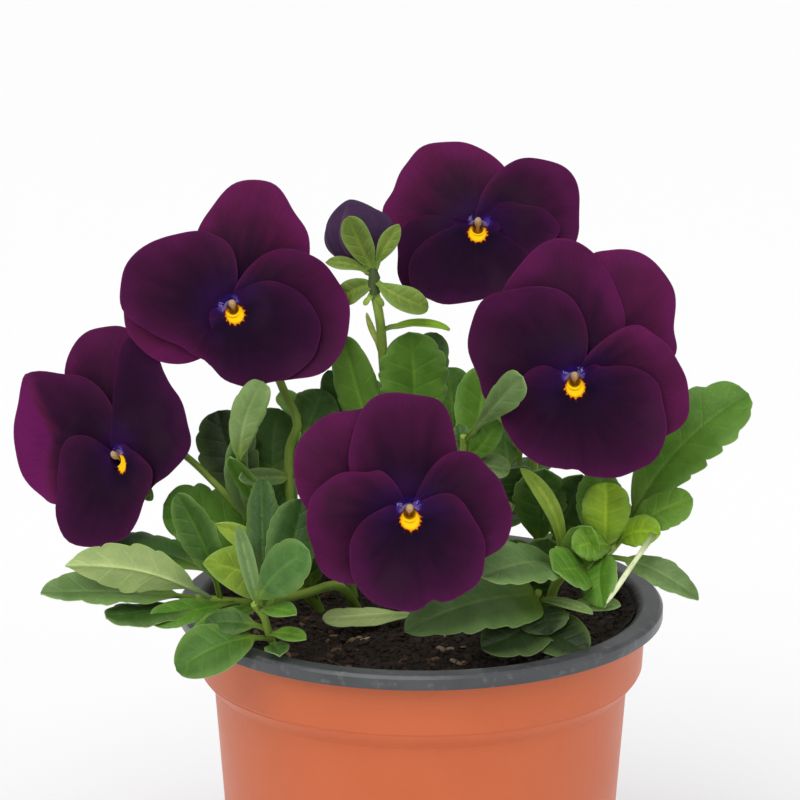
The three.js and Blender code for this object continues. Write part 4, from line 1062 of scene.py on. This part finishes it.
THROAT_PROFILE = [
    [0, -2.2], [2.2, -2.2], [2.3, -0.6], [2.3, 1.8], [2.25, 2.8], [2.1, 3.22], [1.85, 3.32], [1.6, 3.1],
    [1.35, 2.3], [1.2, -0.8], [0, -1.2],
]
SPUR_GIRTHS = [1.0] * 11 + [0.85, 0.6, 0.2]
for name, petals in PETALS.items():
    bloom = BLOOMS[name]
    own, down, eye_shape = bloom["own"], bloom["down"], bloom.get("eye", {})
    stock = Stock(place=3, eye=3, warm=1, girth=1, beard=1)
    for layer, (begin, warm, edge, *own_form) in enumerate(petals):
        petal(stock, own, layer, down, begin, warm, edge, **(own_form[0] if own_form else {}), **eye_shape)
    funnel(stock, own, down, THROAT_PROFILE, **eye_shape)
    way = math.radians(down)
    spur = [[r * math.sin(way), r * math.cos(way), z] for r, z in ((2, -0.5), (3.8, -3), (4.4, -7))]
    spur = placed(own, smooth_path(spur, len(SPUR_GIRTHS)))
    stock.thread(spur, SPUR_GIRTHS, place=(1.5, 0.7, 9), eye=(30, 30, 6), warm=0.3)
    mesh = stock.mesh("bloom_" + name)
    fasten(shaped("beard_" + name, mesh.copy(), beard_tree, beard_material), "petal")
    fasten(shaped("bloom_" + name, mesh, stalk_tree, petal_material, crease=75), "petal", "petals_" + name)


# The bud at the top of the crown is four furled petals, wrapped round each other in the green cup. It has
# started to open and turns its back to the front of the plant.
BUD_FOOT, BUD_MIDDLE = np.array([-11.8, -4.5, 181.0]), np.array([-14.9, 1.6, 191.2])
BUD_HALF_WIDTH, BUD_HALF_DEPTH, BUD_HALF_HEIGHT = 8.1, 5.6, 9.3
BUD_RINGS, BUD_SIDES = 44, 120
rise = np.linspace(0, 1, BUD_RINGS)[:, None]
turn = np.linspace(0, FULL_TURN, BUD_SIDES, endpoint=False)[None]
up = unit(BUD_MIDDLE - BUD_FOOT)
sideways = unit(np.cross(up, [0, 1, 0]))
axes = np.stack([sideways, np.cross(up, sideways), up])
girdle = np.sin(np.pi * rise**1.12) ** 0.62
# Each petal starts under the one before and ends with a free edge over the next, a little further up.
wrapped = 0 * rise + 0 * turn
for petal_start, height in ((0.55, 1.0), (2.35, 0.8), (3.9, 1.1), (5.35, 0.7)):
    past = np.mod(turn - petal_start - 0.9 * rise, FULL_TURN)
    wrapped = wrapped + height * np.exp(-past / 0.55) * np.clip(past / 0.10, 0, 1)
wrapped = wrapped * np.clip(4 * rise * (1 - rise), 0, 1) ** 0.5
crumple = 0.25 * np.sin(5 * turn + 6 * rise) + 0.12 * np.sin(13 * turn - 4 * rise)
swell = girdle * (1 + (wrapped + crumple * np.sin(np.pi * rise)) / 8)
x, y = BUD_HALF_WIDTH * swell * np.cos(turn), BUD_HALF_DEPTH * swell * np.sin(turn)
z = BUD_HALF_HEIGHT * (2 * rise - 1) + 0 * turn
# The petals lean over to one side, so the shoulder on the other side slopes.
shoulder = np.clip(-x / BUD_HALF_WIDTH, 0, 1) * np.clip(z / BUD_HALF_HEIGHT, 0, 1)
points = np.stack([x * (1 - 0.3 * shoulder), y, z * (1 - 0.25 * shoulder)], axis=-1)
stock = Stock(girth=1, edge=1)
stock.wrap(BUD_MIDDLE + points @ axes, {"edge": wrapped[..., None], "girth": 0 * wrapped[..., None]})

bud_material, board = new_material("bud velvet")
colour = board.glazed(
    board.mix(board.spot(6, 3), "241a32", "482a4c"),
    (eased(board.spot(1.1, 4), 0.5, 0.75) * 0.2, "120c20"),
    # Lighter where each furled petal's free edge stands out: painted highlight.
    (eased(board.read("edge"), 0.45, 1.0) * 0.5, "6a4a66"),
)
board.finish(
    colour, 0.66 + 0.14 * board.spot(0.6, 2), board.spot(0.4, 3), 0.08, Specular_IOR_Level=0.14,
    Sheen_Weight=0.15, Sheen_Roughness=0.4, Sheen_Tint="8a6ab0",
)
fasten(shaped("bud", stock.mesh("bud"), stalk_tree, bud_material, crease=60), "petal", "petals_bud")


# The pistil stands in the throat of each open bloom: a thin style with a round, hollow-tipped tan head
# that leans towards the top of the flower.
LEAN_UP = 0.42
pistil_profile = [
    [0, -0.9], [0.45, -0.9], [0.5, 2], [0.58, 2.8], [0.8, 3.2], [0.92, 3.7], [0.86, 4.2], [0.64, 4.6],
    [0.34, 4.75], [0.2, 4.66], [0, 4.6],
]
board, wires = new_shape("pistil", {"Segments": 24, "Corner radius": 0.12 * MM})
pistil_tree = close_shape(wires, turn_on_axis(board, wires))
pistil_material, board = new_material("pistil")
colour = board.mix(board.spot(0.7, 2), "96724a", "c4a47c")
colour = board.mix(eased(board.read("along"), 0.5, 0.1), colour, "b8a02c")
board.finish(colour, 0.45 + 0.2 * board.spot(0.5, 1), board.spot(0.3, 2), 0.05)
leaning = Matrix([[1, 0, 0, 0], [0, 1, LEAN_UP, 0], [0, 0, 1, 0], [0, 0, 0, 1]])
for name, bloom in BLOOMS.items():
    centre, axes = bloom["own"]
    outline = outline_mesh("stigma", pistil_profile)
    piece = shaped("stigma_" + name, outline, pistil_tree, pistil_material, crease=60)
    turned = Matrix([[*axes[:, k], centre[k] * MM] for k in range(3)] + [[0, 0, 0, 1]])
    piece.data.transform(turned @ leaning)
    fasten(piece, "pistil", "pistil_" + name)


# The stage is a plain near-white floor under soft studio light, and the camera looks a little down on the
# plant from the front, from a little over 70 cm away.
FLOOR_HALF = 8.0  # metres
floor_mesh = bpy.data.meshes.new("floor")
corners = [(FLOOR_HALF * x, FLOOR_HALF * y, 0) for x, y in ((-1, -1), (1, -1), (1, 1), (-1, 1))]
floor_mesh.from_pydata(corners, [], [(0, 1, 2, 3)])
floor = put("floor", floor_mesh)
floor_material, board = new_material("floor")
board.finish((0.93, 0.93, 0.935, 1), 0.7, board.spot(3, 2), 0.01)
floor_mesh.materials.append(floor_material)

world = bpy.data.worlds.new("studio")
world.use_nodes = True
board = Board(world.node_tree)
sky = board.node("Background", {"Color": "ffffff", "Strength": 0.5})
board.node("OutputWorld", {"Surface": sky})
bpy.context.scene.world = world

# The lights are as strong over the whole floor, so the floor stays one even white.
for name, strength, spread, way in (
    ("overhead panel", 2.05, 55, (-0.25, -0.5, 0.82)), ("side panel", 0.45, 60, (0.75, -0.5, 0.45)),
):
    light = bpy.data.lights.new(name, "SUN")
    light.energy, light.angle = strength, math.radians(spread)
    put(name, light).rotation_euler = (-Vector(way)).to_track_quat("-Z", "Y").to_euler()

CAMERA_PLACE = (-0.00509, -0.7145, 0.3280)  # metres
CAMERA_TILT = 76.04  # degrees up from straight down
SENSOR_WIDTH, LENS = 36.0, 135.72
camera_data = bpy.data.cameras.new("camera")
camera_data.sensor_width, camera_data.lens = SENSOR_WIDTH, LENS
camera = put("camera", camera_data)
camera.location = CAMERA_PLACE
camera.rotation_euler = (math.radians(CAMERA_TILT), 0, 0)
bpy.context.scene.camera = camera
bpy.context.scene.view_settings.view_transform = "Standard"
